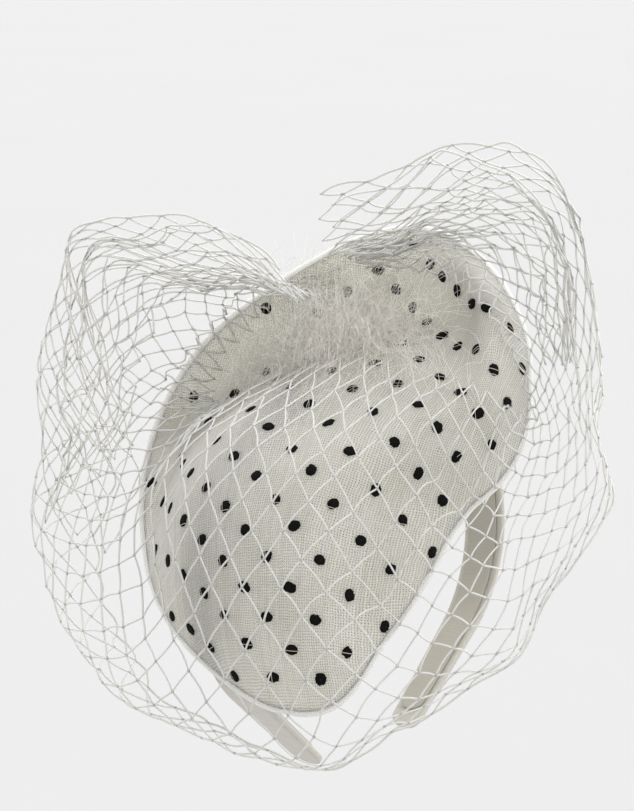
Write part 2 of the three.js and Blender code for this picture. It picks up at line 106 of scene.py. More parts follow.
def surface(tree, shader, colour, constants, relief=None, depth=0, strength=0):
    """Give the shader its colour, its constants and, where the surface has relief, its bump."""
    tree.links.new(colour, shader.inputs["Base Color"])
    for name, value in constants.items():
        shader.inputs[name].default_value = value
    if relief is not None:
        bump = put(tree, "ShaderNodeBump", {"Height": relief, "Distance": depth, "Strength": strength})
        tree.links.new(bump.outputs[0], shader.inputs["Normal"])


FLOOR_DROP = 0.34
FLOOR_SIZE = 30
floor_mesh = bpy.data.meshes.new("studio_floor")
half = FLOOR_SIZE / 2
floor_level = cad_box[0][2] - FLOOR_DROP
corners = [(x, y, floor_level) for x, y in ((-half, -half), (half, -half), (half, half), (-half, half))]
floor_mesh.from_pydata(corners, [], [(0, 1, 2, 3)])
floor = bpy.data.objects.new("studio_floor", floor_mesh)
bpy.context.collection.objects.link(floor)
# Matt paper: an even pale grey that throws soft light up under the hat, with hardly any grain.
paper, tree, shader = new_finish("matt_paper")
place = put(tree, "ShaderNodeTexCoord")
paper_grain = put(tree, "ShaderNodeTexNoise", {"Vector": place.outputs["Object"], "Scale": 3})
paper_tone = put(
    tree,
    "ShaderNodeMix",
    {0: paper_grain.outputs[0], 6: linear("#bebebe"), 7: linear("#c0c0c0")},
    data_type="RGBA",
)
surface(tree, shader, paper_tone.outputs[2], {"Roughness": 0.95, "Specular IOR Level": 0.1})
floor_mesh.materials.append(paper)

world = bpy.data.worlds.new("pale_room")
world.use_nodes = True
world.node_tree.nodes["Background"].inputs["Color"].default_value = linear("#e8e8e8")
world.node_tree.nodes["Background"].inputs["Strength"].default_value = 1.0
bpy.context.scene.world = world

# Way to each soft light, its strength, and how wide it is in the sky in degrees. The key light
# shapes the dome, and the back light shines through the straw of the turned-up rim.
LIGHTS = [
    ("key_light", (0.30, -0.60, 0.74), 0.9, 90),
    ("back_light", (0.70, 0.20, 0.68), 2.7, 120),
]
for name, way, strength, spread in LIGHTS:
    light_data = bpy.data.lights.new(name, "SUN")
    light_data.energy = strength
    light_data.angle = radians(spread)
    light = bpy.data.objects.new(name, light_data)
    light.rotation_euler = Vector(way).to_track_quat("Z", "Y").to_euler()
    bpy.context.collection.objects.link(light)


# Straw shell
# The hat is one piece of sinamay, an open cloth of stiffened straw, steamed over a block.
# It has a large dome to the front, a deep crease behind it and a rim that turns up again.
HAT_LENGTH = 0.080
CROWN_HEIGHT = 0.038
MIDDLE_RISE = 0.775
SHELL_WALL = 0.0016
HAT_CENTRE = np.array((-0.0245, -0.0093, -0.0272))
HAT_SIDE_LEAN = radians(48.7)
HAT_FRONT_LEAN = radians(9.8)
HAT_TURN = radians(-10.7)
BINDING_WIDTH = 0.0016
TOUCH = 0.0003  # the gap between two pieces that touch
SHELL_SPOKES = 288
SHELL_RINGS = 96
STATIONS = (0, 0.25, 0.5, 0.72, 0.9, 1)

# Bearing from the top of the hat towards the face, reach as a share of HAT_LENGTH, and the
# heights at a quarter, a half, the shoulder, the edge and the rim as shares of CROWN_HEIGHT.
SPOKES = np.array(
    [
        (0, 0.888, 0.684, 0.447, 0.158, 0.342, 0.632),
        (15, 0.963, 0.684, 0.474, 0.21, 0.447, 0.658),
        (30, 0.988, 0.71, 0.5, 0.29, 0.605, 0.447),
        (45, 0.925, 0.737, 0.553, 0.395, 0.58, 0.184),
        (60, 0.831, 0.763, 0.63, 0.5, 0.474, 0.08),
        (75, 0.763, 0.8, 0.725, 0.59, 0.37, 0.025),
        (88, 0.681, 0.83, 0.775, 0.63, 0.33, 0),
        (101, 0.594, 0.855, 0.815, 0.66, 0.315, 0),
        (120, 0.594, 0.895, 0.855, 0.63, 0.29, 0),
        (150, 0.763, 0.947, 0.895, 0.63, 0.265, 0),
        (166, 0.988, 0.947, 0.91, 0.63, 0.265, 0),
        (178, 1, 0.947, 0.92, 0.66, 0.29, 0),
        (198, 0.913, 0.947, 0.947, 0.737, 0.37, 0.025),
        (222, 0.844, 0.92, 0.895, 0.71, 0.342, 0.08),
        (246, 0.781, 0.868, 0.79, 0.553, 0.21, 0.132),
        (270, 0.756, 0.79, 0.658, 0.368, 0.105, 0.21),
        (300, 0.75, 0.71, 0.474, 0.158, 0.08, 0.368),
        (330, 0.769, 0.684, 0.395, 0.105, 0.132, 0.5),
        (345, 0.806, 0.684, 0.42, 0.105, 0.237, 0.58),
    ]
)


def curve_through(stations, values, at):
    """Smooth curve through values at rising stations; each of them may be an array."""
    last = len(stations) - 1
    slopes = []
    for n in range(last + 1):
        a, b = max(n - 1, 0), min(n + 1, last)
        slopes.append((values[b] - values[a]) / (stations[b] - stations[a]))
    found = 0
    for n in range(last):
        span = stations[n + 1] - stations[n]
        t = np.clip((at - stations[n]) / span, 0, 1)
        bent = (2 * t**3 - 3 * t**2 + 1) * values[n] + (t**3 - 2 * t**2 + t) * span * slopes[n]
        bent = bent + (3 * t**2 - 2 * t**3) * values[n + 1] + (t**3 - t**2) * span * slopes[n + 1]
        found = np.where(at >= stations[n], bent, found) if n else bent
    return found


def spoke_value(column, bearing):
    """One column of the spokes at any bearing, going round without a seam."""
    turn = np.array([360] + [0] * (SPOKES.shape[1] - 1))
    rows = np.vstack((SPOKES[-2:] - turn, SPOKES, SPOKES[:3] + turn))
    return curve_through(rows[:, 0], rows[:, column], np.mod(bearing, 360))


def straw_reach(bearing):
    """How far the straw reaches at a bearing; the binding makes up the rest."""
    return HAT_LENGTH * spoke_value(1, bearing) - BINDING_WIDTH - TOUCH


def shell_height(bearing, share):
    """Height of the outer face over the plane of the rim, at a share of the reach."""
    reach = spoke_value(1, bearing)
    behind = spoke_value(1, bearing + 180)
    stations = [-STATIONS[1] * behind / reach] + [s + 0 * reach for s in STATIONS]
    values = [spoke_value(2, bearing + 180), MIDDLE_RISE + 0 * reach]
    values += [spoke_value(column, bearing) for column in range(2, 7)]
    return CROWN_HEIGHT * curve_through(stations, values, share)


def shell_at(along, front):
    """How far out a place of the rim's plane is, and the height of the shell over it."""
    bearing = np.degrees(np.arctan2(front, along))
    share = np.hypot(along, front) / straw_reach(bearing)
    return share, shell_height(bearing, np.minimum(share, 1))


# The hat's own axes: out from the head, along its length to the top, and to the front.
OUT = np.array(
    (
        -sin(HAT_SIDE_LEAN) * cos(HAT_FRONT_LEAN),
        -sin(HAT_FRONT_LEAN),
        cos(HAT_SIDE_LEAN) * cos(HAT_FRONT_LEAN),
    )
)
level = np.cross((0, 1, 0), OUT)
level = level / np.linalg.norm(level)
ALONG = level * cos(-HAT_TURN) + np.cross(OUT, level) * sin(-HAT_TURN)
FRONT = np.cross(ALONG, OUT)


def hat_place(along, front, height):
    """Places in the frame of the whole object, from places in the hat's own frame."""
    parts = np.stack(np.broadcast_arrays(along, front, height), -1)
    return HAT_CENTRE + parts[..., :1] * ALONG + parts[..., 1:2] * FRONT + parts[..., 2:] * OUT


def polar_place(bearing, share):
    """A place on the outer face, from its bearing and its share of the reach."""
    radius = straw_reach(bearing) * share
    turn = np.radians(bearing)
    return hat_place(radius * np.cos(turn), radius * np.sin(turn), shell_height(bearing, share))


PROBE_TURN = 1
PROBE_SHARE = 0.012


def polar_normal(bearing, share):
    """The way out of the outer face, by small steps in both directions."""
    probe = np.clip(share, 0.03, 0.985)
    du = polar_place(bearing + PROBE_TURN, probe) - polar_place(bearing - PROBE_TURN, probe)
    dv = polar_place(bearing, probe + PROBE_SHARE) - polar_place(bearing, probe - PROBE_SHARE)
    normal = np.cross(du, dv)
    normal /= np.linalg.norm(normal, axis=-1, keepdims=True)
    return np.where((normal @ OUT)[..., None] < 0, -normal, normal)


def new_piece(name, points, faces, finish, uv=None):
    """A smooth mesh object, with the weave's own places as its UV map."""
    mesh = bpy.data.meshes.new(name)
    mesh.from_pydata([tuple(p) for p in points], [], faces)
    mesh.validate()
    if uv is not None:
        layer = mesh.uv_layers.new(name="weave")
        corner_points = np.zeros(len(mesh.loops), int)
        mesh.loops.foreach_get("vertex_index", corner_points)
        layer.data.foreach_set("uv", np.asarray(uv)[corner_points].ravel())
    mesh.shade_smooth()
    mesh.materials.append(finish)
    made = bpy.data.objects.new(name, mesh)
    bpy.context.collection.objects.link(made)
    return made


def grid_faces(rows, columns, wraps, first=0, flip=False):
    """The four-sided faces of a grid of points that may be wrapped round."""
    faces = []
    steps = columns if wraps else columns - 1
    for row in range(rows - 1):
        for k in range(steps):
            n = (k + 1) % columns
            face = (row * columns + k, (row + 1) * columns + k, (row + 1) * columns + n, row * columns + n)
            face = tuple(first + point for point in face)
            faces.append(face[::-1] if flip else face)
    return faces


# How the dotted cloth lies on the block. Each row of the chart is one cross thread that runs
# through a row of dots; its places, in millimetres along and to the front, are charted
# at six of its dots, from the back of the hat to the front.
DOT_STEP_ALONG = 0.0175
DOT_STEP_ACROSS = 0.0194
THREAD_ROWS = (-9, -8, -7, -6, -5, -4, -3, -2, -1, 0, 1, 2, 3, 4)
THREAD_DOTS = (-4, -2, 0, 1, 2, 3)
THREAD_CHART = np.array(
    [
        ((71, -38), (80, 4), (80, 42), (80, 60), (80, 78), (76, 86)),
        ((60, -37), (69, -3), (70, 35), (71, 53), (72, 68), (66, 76)),
        ((52, -37), (59, -7), (61, 26), (61, 45), (62, 58), (56, 67)),
        ((43, -39), (50, -11), (50, 21), (50, 39), (53, 53), (47, 62)),
        ((32, -44), (44, -22), (38, 18), (39, 35), (46, 50), (38, 58)),
        ((18, -48), (34, -31), (27, 14), (25, 34), (29, 50), (28, 57)),
        ((6, -53), (20, -33), (15, 11), (12, 32), (14, 48), (16, 57)),
        ((-9, -57), (-5, -28), (1, 8), (-3, 29), (0, 44), (3, 55)),
        ((-25, -57), (-24, -24), (-18, 9), (-18, 26), (-11, 40), (-7, 51)),
        ((-41, -55), (-40, -22), (-36, 8), (-33, 24), (-25, 38), (-18, 47)),
        ((-54, -54), (-53, -21), (-52, 8), (-48, 22), (-37, 36), (-29, 45)),
        ((-66, -53), (-64, -21), (-66, 8), (-62, 22), (-52, 35), (-43, 44)),
        ((-78, -52), (-77, -20), (-78, 9), (-74, 23), (-66, 35), (-57, 44)),
        ((-90, -51), (-90, -19), (-90, 10), (-86, 23), (-80, 36), (-72, 45)),
    ]
)


def thread_place(across, down):
    """Where the cloth's dot places lie on the hat, along and to the front, in metres."""
    a = np.clip(across, THREAD_DOTS[0], THREAD_DOTS[-1])
    b = np.clip(down, THREAD_ROWS[0], THREAD_ROWS[-1])
    found = []
    for axis in (0, 1):
        lines = THREAD_CHART[:, :, axis].T
        columns = [curve_through(THREAD_ROWS, line, b) for line in lines]
        inside = curve_through(THREAD_DOTS, columns, a)
        slope = np.where(across < a, (columns[1] - columns[0]) / 2, columns[-1] - columns[-2])
        found.append((inside + slope * (across - a)) / 1000)
    return found


# The search for a place on the cloth starts from even rows of dots.
FIRST_STEP_ACROSS, FIRST_STEP_ALONG = 0.017, 0.016
SEARCH_STEP = 0.01
SEARCH_ROUNDS = 14
SEARCH_REACH = 0.7


def thread_numbers(along, front):
    """The dot numbers across and down the cloth at places on the hat, found round by round."""
    across, down = front / FIRST_STEP_ACROSS - 0.5, -along / FIRST_STEP_ALONG - 2
    step = SEARCH_STEP
    for _ in range(SEARCH_ROUNDS):
        x, y = thread_place(across, down)
        xa, ya = thread_place(across + step, down)
        xb, yb = thread_place(across, down + step)
        p, q, r, s = (xa - x) / step, (xb - x) / step, (ya - y) / step, (yb - y) / step
        fall = p * s - q * r
        fall = np.where(np.abs(fall) < 1e-5, -1e-5, fall)
        dx, dy = along - x, front - y
        across = across + np.clip((s * dx - q * dy) / fall, -SEARCH_REACH, SEARCH_REACH)
        down = down + np.clip((p * dy - r * dx) / fall, -SEARCH_REACH, SEARCH_REACH)
    return across, down


shell_bearings = np.arange(SHELL_SPOKES)[None, :] * -360 / SHELL_SPOKES
shell_shares = np.linspace(0, 1, SHELL_RINGS)[:, None]
bearings, shares = np.broadcast_arrays(shell_bearings, shell_shares)
shell_outer = polar_place(bearings, shares)
shell_normals = polar_normal(bearings, shares)
shell_normals[0] = OUT
shell_radius = straw_reach(bearings) * shares
plan_along = shell_radius * np.cos(np.radians(bearings))
plan_front = shell_radius * np.sin(np.radians(bearings))
across, down = thread_numbers(plan_along.ravel(), plan_front.ravel())
shell_uv = np.stack((across * DOT_STEP_ACROSS, down * DOT_STEP_ALONG), -1)
# The cloth isn't quite flat over the block: long shallow waves stay in it.
RIPPLE = 0.00022


def cloth_ripple(along, front):
    """How far the cloth stands out of the block's own form."""
    return RIPPLE * np.sin(along * 210 + 2 * np.sin(front * 95)) * np.sin(front * 160 + 0.7)


shell_face = shell_outer + cloth_ripple(plan_along, plan_front)[..., None] * shell_normals
shell_lining = shell_outer - SHELL_WALL * shell_normals
points = np.vstack((shell_face.reshape(-1, 3), shell_lining.reshape(-1, 3)))
count = SHELL_RINGS * SHELL_SPOKES
faces = grid_faces(SHELL_RINGS, SHELL_SPOKES, True)
faces += grid_faces(SHELL_RINGS, SHELL_SPOKES, True, count, True)
last = (SHELL_RINGS - 1) * SHELL_SPOKES
for k in range(SHELL_SPOKES):
    n = (k + 1) % SHELL_SPOKES
    faces.append((last + k, count + last + k, count + last + n, last + n))

# Sinamay: stiffened straw threads 0.8 mm apart both ways, with some gaps between them.
# The straw is matt and ivory, and each thread has its own tone and width. The gaps are painted
# darker and warmer, a painted shade of the hollow of the hat that lies behind them.
THREAD_PITCH = 0.0008
THREAD_SCALE = (1 / THREAD_PITCH, 1 / THREAD_PITCH, 0)
THREAD_WANDER = 1.3  # in threads
DRIFT_SCALE = 260  # the threads wander in waves about 4 mm long
LEAST_WIDTH, WIDTH_SPREAD = 0.62, 0.22
SLUB_SCALE, SLUB_SHARE = 0.35, 0.8  # a thread swells and thins every 3 crossings
OVER_LIFT = 0.08
GAP_FROM, GAP_TO = 0.16, 0.37
TONE_SCALE = 55  # paler and darker patches about 18 mm across
FIBRE_SCALE = 4000  # straw fibres about 0.25 mm wide, which the eye sees as a fine grain


def cloth_threads(tree):
    """The cloth's own places, and the same places counted in threads both ways."""
    place = put(tree, "ShaderNodeUVMap", uv_map="weave")
    counted = put(tree, "ShaderNodeVectorMath", {0: place.outputs[0], 1: THREAD_SCALE}, operation="MULTIPLY")
    return place, counted


sinamay, tree, shader = new_finish("sinamay_straw")
place, threads = cloth_threads(tree)
drift = put(tree, "ShaderNodeTexNoise", {"Vector": place.outputs[0], "Scale": DRIFT_SCALE, "Detail": 2})
drift_centred = put(
    tree,
    "ShaderNodeVectorMath",
    {0: drift.outputs[1], 1: (0.5, 0.5, 0.5)},
    operation="SUBTRACT",
)
wander = put(
    tree,
    "ShaderNodeVectorMath",
    {0: drift_centred.outputs[0], "Scale": THREAD_WANDER},
    operation="SCALE",
)
counted = put(
    tree,
    "ShaderNodeVectorMath",
    {0: threads.outputs[0], 1: wander.outputs[0]},
    operation="ADD",
)
split = put(tree, "ShaderNodeSeparateXYZ", {0: counted.outputs[0]})
heights = []
numbers = []
for axis in (0, 1):
    along_thread = split.outputs[1 - axis]
    number = put(tree, "ShaderNodeMath", {0: split.outputs[axis]}, operation="FLOOR")
    numbers.append(number)
    own = put(tree, "ShaderNodeTexWhiteNoise", {"W": number.outputs[0]}, noise_dimensions="1D")
    middle = put(tree, "ShaderNodeMath", {0: split.outputs[axis], 1: 0.5}, operation="PINGPONG")
    slub_place = put(tree, "ShaderNodeCombineXYZ", {0: number.outputs[0], 1: along_thread})
    slub = put(
        tree,
        "ShaderNodeTexNoise",
        {"Vector": slub_place.outputs[0], "Scale": SLUB_SCALE, "Detail": 1},
    )
    width = put(
        tree,
        "ShaderNodeMath",
        {0: own.outputs[0], 1: WIDTH_SPREAD, 2: LEAST_WIDTH},
        operation="MULTIPLY_ADD",
    )
    wider = put(
        tree,
        "ShaderNodeMath",
        {0: slub.outputs[0], 1: SLUB_SHARE, 2: width.outputs[0]},
        operation="MULTIPLY_ADD",
    )
    rise = put(tree, "ShaderNodeMath", {0: middle.outputs[0], 1: wider.outputs[0]}, operation="MULTIPLY")
    heights.append(rise)
pair = put(tree, "ShaderNodeMath", {0: numbers[0].outputs[0], 1: numbers[1].outputs[0]}, operation="ADD")
over = put(tree, "ShaderNodeMath", {0: pair.outputs[0], 1: 1}, operation="PINGPONG")
lift = put(
    tree,
    "ShaderNodeMath",
    {0: over.outputs[0], 1: OVER_LIFT, 2: heights[0].outputs[0]},
    operation="MULTIPLY_ADD",
)
weave = put(tree, "ShaderNodeMath", {0: lift.outputs[0], 1: heights[1].outputs[0]}, operation="MAXIMUM")
solid = put(
    tree,
    "ShaderNodeMapRange",
    {0: weave.outputs[0], 1: GAP_FROM, 2: GAP_TO, 3: 0, 4: 1},
    interpolation_type="SMOOTHSTEP",
)
tone_noise = put(tree, "ShaderNodeTexNoise", {"Vector": place.outputs[0], "Scale": TONE_SCALE, "Detail": 4})
thread_number = put(tree, "ShaderNodeCombineXYZ", {0: numbers[0].outputs[0]})
thread_tone = put(
    tree,
    "ShaderNodeTexWhiteNoise",
    {"Vector": thread_number.outputs[0]},
    noise_dimensions="3D",
)
straw_tone = put(
    tree,
    "ShaderNodeMix",
    {0: thread_tone.outputs[0], 6: linear("#c6c4bc"), 7: linear("#dad8d1")},
    data_type="RGBA",
)
aged = put(
    tree,
    "ShaderNodeMix",
    {0: tone_noise.outputs[0], 6: straw_tone.outputs[2], 7: linear("#c2bfb6")},
    data_type="RGBA",
)
# The gaps get a painted shade, #8f8b82, in place of the dark hollow seen through them.
weave_with_gap_shade = put(
    tree,
    "ShaderNodeMix",
    {0: solid.outputs[0], 6: linear("#8f8b82"), 7: aged.outputs[2]},
    data_type="RGBA",
)
# A second layer lies under the first, and its dots show as black specks in the gaps.
UNDER_DOT_SHIFT = (0.33, 0.21)
UNDER_DOT_EDGE, UNDER_DOT_HEART = 0.17, 0.11
OPEN_FROM, OPEN_TO = 0.22, 0.14
SPECK_SCALE = 900  # specks about 1 mm apart
dot_place = put(
    tree,
    "ShaderNodeVectorMath",
    {0: place.outputs[0], 1: (1 / DOT_STEP_ACROSS, 1 / DOT_STEP_ALONG, 0)},
    operation="MULTIPLY",
)
dot_axes = put(tree, "ShaderNodeSeparateXYZ", {0: dot_place.outputs[0]})
offsets = []
for k, kind in enumerate(("ADD", "SUBTRACT")):
    mixed = put(tree, "ShaderNodeMath", {0: dot_axes.outputs[0], 1: dot_axes.outputs[1]}, operation=kind)
    moved = put(tree, "ShaderNodeMath", {0: mixed.outputs[0], 1: UNDER_DOT_SHIFT[k]}, operation="ADD")
    offsets.append(put(tree, "ShaderNodeMath", {0: moved.outputs[0], 1: 0.5}, operation="PINGPONG"))
off_dot = put(tree, "ShaderNodeCombineXYZ", {0: offsets[0].outputs[0], 1: offsets[1].outputs[0]})
far_off = put(tree, "ShaderNodeVectorMath", {0: off_dot.outputs[0]}, operation="LENGTH")
near_dot = put(
    tree,
    "ShaderNodeMapRange",
    {0: far_off.outputs["Value"], 1: UNDER_DOT_EDGE, 2: UNDER_DOT_HEART, 3: 0, 4: 1},
)
gap = put(tree, "ShaderNodeMapRange", {0: weave.outputs[0], 1: OPEN_FROM, 2: OPEN_TO, 3: 0, 4: 1})
speck_noise = put(
    tree,
    "ShaderNodeTexNoise",
    {"Vector": place.outputs[0], "Scale": SPECK_SCALE, "Detail": 0},
)
speck_some = put(tree, "ShaderNodeMapRange", {0: speck_noise.outputs[0], 1: 0.45, 2: 0.55, 3: 0, 4: 1})
speck = put(tree, "ShaderNodeMath", {0: near_dot.outputs[0], 1: gap.outputs[0]}, operation="MULTIPLY")
speck = put(tree, "ShaderNodeMath", {0: speck.outputs[0], 1: speck_some.outputs[0]}, operation="MULTIPLY")
specked = put(
    tree,
    "ShaderNodeMix",
    {0: speck.outputs[0], 6: weave_with_gap_shade.outputs[2], 7: linear("#1c1b1a")},
    data_type="RGBA",
)
fibre = put(tree, "ShaderNodeTexNoise", {"Vector": place.outputs[0], "Scale": FIBRE_SCALE, "Detail": 2})
relief = put(
    tree,
    "ShaderNodeMath",
    {0: fibre.outputs[0], 1: 0.06, 2: weave.outputs[0]},
    operation="MULTIPLY_ADD",
)
# Light shines through the thin straw from behind, so the scatter is deeper than the wall.
STRAW_GLOW = {"Subsurface Weight": 1.0, "Subsurface Radius": (1, 1, 0.95), "Subsurface Scale": 0.008}
straw_constants = {"Roughness": 0.78, "Specular IOR Level": 0.3, "Sheen Weight": 0.15, **STRAW_GLOW}
surface(tree, shader, specked.outputs[2], straw_constants, relief.outputs[0], 0.0006, 0.9)

shell = new_piece("straw_shell", points, faces, sinamay, np.vstack((shell_uv, shell_uv)))
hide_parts("sinamay_shell")
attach(shell, "root")


# Flocked dots
# Round spots of black flock, about 3.4 mm wide, are pressed on the straw in staggered rows.
# They stand a little proud, their edges are ragged, and some straw threads cross them.
DOT_RADIUS = 0.00180
DOT_RISE = 0.00042
DOT_SIDES = 22
DOT_LAST_SHARE = 0.985
dot_random = np.random.default_rng(11)

# Cut nylon flock: near black and fully matt. The palest lines are straw threads that rise
# through it, about one in eight.
BARE_THREAD = 0.88
PILE_SCALE = 5000  # flock tufts about 0.2 mm across
flock, tree, shader = new_finish("black_flock")
place, threads = cloth_threads(tree)
split = put(tree, "ShaderNodeSeparateXYZ", {0: threads.outputs[0]})
crossings = []
for axis in (0, 1):
    number = put(tree, "ShaderNodeMath", {0: split.outputs[axis]}, operation="FLOOR")
    middle = put(tree, "ShaderNodeMath", {0: split.outputs[axis], 1: 0.5}, operation="PINGPONG")
    line = put(tree, "ShaderNodeMapRange", {0: middle.outputs[0], 1: 0.34, 2: 0.44, 3: 0, 4: 1})
    own = put(tree, "ShaderNodeTexWhiteNoise", {"W": number.outputs[0]}, noise_dimensions="1D")
    rare = put(tree, "ShaderNodeMath", {0: own.outputs[0], 1: BARE_THREAD}, operation="GREATER_THAN")
    bare = put(tree, "ShaderNodeMath", {0: line.outputs[0], 1: rare.outputs[0]}, operation="MULTIPLY")
    crossings.append(bare)
crossing = put(
    tree,
    "ShaderNodeMath",
    {0: crossings[0].outputs[0], 1: crossings[1].outputs[0]},
    operation="MAXIMUM",
)
pile = put(tree, "ShaderNodeTexNoise", {"Vector": place.outputs[0], "Scale": PILE_SCALE, "Detail": 2})
flock_tone = put(
    tree,
    "ShaderNodeMix",
    {0: pile.outputs[0], 6: linear("#050505"), 7: linear("#141312")},
    data_type="RGBA",
)
dot_colour = put(
    tree,
    "ShaderNodeMix",
    {0: crossing.outputs[0], 6: flock_tone.outputs[2], 7: linear("#cfcabc")},
    data_type="RGBA",
)
flock_constants = {"Roughness": 0.95, "Specular IOR Level": 0.15}
surface(tree, shader, dot_colour.outputs[2], flock_constants, pile.outputs[0], 0.0002, 0.6)

# Each dot follows the shell: a low round cushion whose rings step out over the cloth.
DOT_RINGS = ((0.02, 1.0), (0.45, 0.95), (0.8, 0.8), (0.96, 0.5), (1.0, -0.5))
half_rows = np.arange(2 * THREAD_ROWS[0], 2 * THREAD_ROWS[-1] + 1)
down_steps, across_steps = np.meshgrid(half_rows, np.arange(-11, 9))
staggered = (down_steps + across_steps) % 2 == 0
dot_across, dot_down = across_steps[staggered] / 2, down_steps[staggered] / 2
# A dot is hidden where the cloth is tucked together in the crease, and past the binding.
TUCKED = 0.0048
on_shell = shell_at(*thread_place(dot_across, dot_down))[0] < DOT_LAST_SHARE
for half_across, half_down in ((0.25, 0.25), (0.25, -0.25)):
    one = np.stack(thread_place(dot_across + half_across, dot_down + half_down), -1)
    other = np.stack(thread_place(dot_across - half_across, dot_down - half_down), -1)
    on_shell &= np.linalg.norm(one - other, axis=-1) > TUCKED
dot_across, dot_down = dot_across[on_shell], dot_down[on_shell]


def cloth_place(across, down):
    """A place on the outer face of the shell, from the dot numbers of the cloth."""
    along, front = thread_place(across, down)
    return hat_place(along, front, shell_at(along, front)[1])


def unit(vectors):
    """The same directions, each of length one."""
    return vectors / np.linalg.norm(vectors, axis=-1, keepdims=True)


NEAR = 0.02
DOT_DROP = 0.0015
dot_middle = cloth_place(dot_across, dot_down)
dot_side = unit(cloth_place(dot_across + NEAR, dot_down) - dot_middle)
dot_normal = unit(np.cross(dot_side, cloth_place(dot_across, dot_down + NEAR) - dot_middle))
dot_normal = np.where((dot_normal @ OUT)[:, None] < 0, -dot_normal, dot_normal)
dot_length = np.cross(dot_normal, dot_side)
dot_count = len(dot_across)
turns = np.arange(DOT_SIDES) * 2 * pi / DOT_SIDES
tooth = dot_random.normal(0, 0.06, (dot_count, DOT_SIDES))
tooth += 0.09 * np.sin(2 * turns + dot_random.uniform(0, 2 * pi, (dot_count, 1)))
dot_size = DOT_RADIUS * dot_random.uniform(0.92, 1.08, (dot_count, 1))
dot_points = []
dot_uv = []
for ring, rise in DOT_RINGS:
    out = dot_size * ring * (1 + tooth * ring)
    u, v = out * np.cos(turns), out * np.sin(turns)
    flat = dot_middle[:, None] + u[..., None] * dot_side[:, None] + v[..., None] * dot_length[:, None]
    inside = flat - HAT_CENTRE
    along, front = inside @ ALONG, inside @ FRONT
    drop = (inside @ OUT - shell_at(along, front)[1]) * (dot_normal @ OUT)[:, None]
    lift = DOT_RISE * rise + cloth_ripple(along, front) - np.clip(drop, -DOT_DROP, DOT_DROP)
    dot_points.append(flat + lift[..., None] * dot_normal[:, None])
    uv_across = dot_across[:, None] * DOT_STEP_ACROSS + u
    uv_along = dot_down[:, None] * DOT_STEP_ALONG + v
    dot_uv.append(np.stack((uv_across, uv_along), -1))
dot_points = np.stack(dot_points, 1)
dot_uv = np.stack(dot_uv, 1)
dot_faces = []
for number in range(dot_count):
    first = number * len(DOT_RINGS) * DOT_SIDES
    dot_faces += grid_faces(len(DOT_RINGS), DOT_SIDES, True, first)
dot_points = dot_points.reshape(-1, 3)
dot_uv = dot_uv.reshape(-1, 2)
dots = new_piece("flocked_dots", dot_points, dot_faces, flock, dot_uv)
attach(dots, "root")


# Rim binding
# A bias strip of the same straw is folded over the cut edge and stitched all round.
# It is a little lighter than the shell, and its threads run aslant.
BINDING_HEIGHT = 0.0026
BINDING_SIDES = 14
BINDING_ROUND = 0.007
BIAS_SLANT = 0.7
PUCKER = 0.08

# The same stiffened straw, folded to four layers, so its gaps are pale and hardly show.
bias, tree, shader = new_finish("sinamay_bias")
place, aslant = cloth_threads(tree)
split = put(tree, "ShaderNodeSeparateXYZ", {0: aslant.outputs[0]})
one_way = put(tree, "ShaderNodeMath", {0: split.outputs[0], 1: 0.5}, operation="PINGPONG")
other_way = put(tree, "ShaderNodeMath", {0: split.outputs[1], 1: 0.5}, operation="PINGPONG")
bias_weave = put(
    tree,
    "ShaderNodeMath",
    {0: one_way.outputs[0], 1: other_way.outputs[0]},
    operation="MAXIMUM",
)
bias_solid = put(tree, "ShaderNodeMapRange", {0: bias_weave.outputs[0], 1: 0.1, 2: 0.3, 3: 0, 4: 1})
bias_tone = put(
    tree,
    "ShaderNodeMix",
    {0: bias_solid.outputs[0], 6: linear("#c4c1b7"), 7: linear("#e4e2db")},
    data_type="RGBA",
)
bias_constants = {"Roughness": 0.75, "Specular IOR Level": 0.3, **STRAW_GLOW}
surface(tree, shader, bias_tone.outputs[2], bias_constants, bias_weave.outputs[0], 0.0004, 0.6)

binding_bearings = np.arange(SHELL_SPOKES) * -360 / SHELL_SPOKES
rim = polar_place(binding_bearings, np.ones(SHELL_SPOKES))
rim_normal = polar_normal(binding_bearings, np.ones(SHELL_SPOKES))
rim_away = rim - polar_place(binding_bearings, np.full(SHELL_SPOKES, 0.97))
rim_away /= np.linalg.norm(rim_away, axis=-1, keepdims=True)
rim_middle = rim - rim_normal * SHELL_WALL / 2 + rim_away * (TOUCH + BINDING_WIDTH / 2)
rim_run = np.concatenate(([0], np.cumsum(np.linalg.norm(np.diff(rim_middle, axis=0), axis=1))))
binding_points = []
binding_uv = []
for n in range(BINDING_SIDES):
    angle = 2 * pi * n / BINDING_SIDES
    # The strip puckers a little between its stitches, about 9 mm apart.
    flatten = PUCKER * np.sin(rim_run * 700 + 2 * np.sin(rim_run * 60))
    half_width = BINDING_WIDTH / 2 * (1 + flatten) + (TOUCH if cos(angle) < 0 else 0)
    ring = rim_middle + rim_away * (cos(angle) * half_width)[:, None]
    ring = ring + rim_normal * (sin(angle) * BINDING_HEIGHT / 2 * (1 - 0.5 * flatten))[:, None]
    binding_points.append(ring)
    round_it = angle / (2 * pi) * BINDING_ROUND
    binding_uv.append(np.stack((rim_run * BIAS_SLANT + round_it, rim_run * BIAS_SLANT - round_it), -1))
binding_faces = grid_faces(BINDING_SIDES, SHELL_SPOKES, True)
last = (BINDING_SIDES - 1) * SHELL_SPOKES
for k in range(SHELL_SPOKES):
    n = (k + 1) % SHELL_SPOKES
    binding_faces.append((last + k, k, n, last + n))
binding = new_piece("rim_fold", np.vstack(binding_points), binding_faces, bias, np.vstack(binding_uv))
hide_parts("rim_binding")
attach(binding, "root")


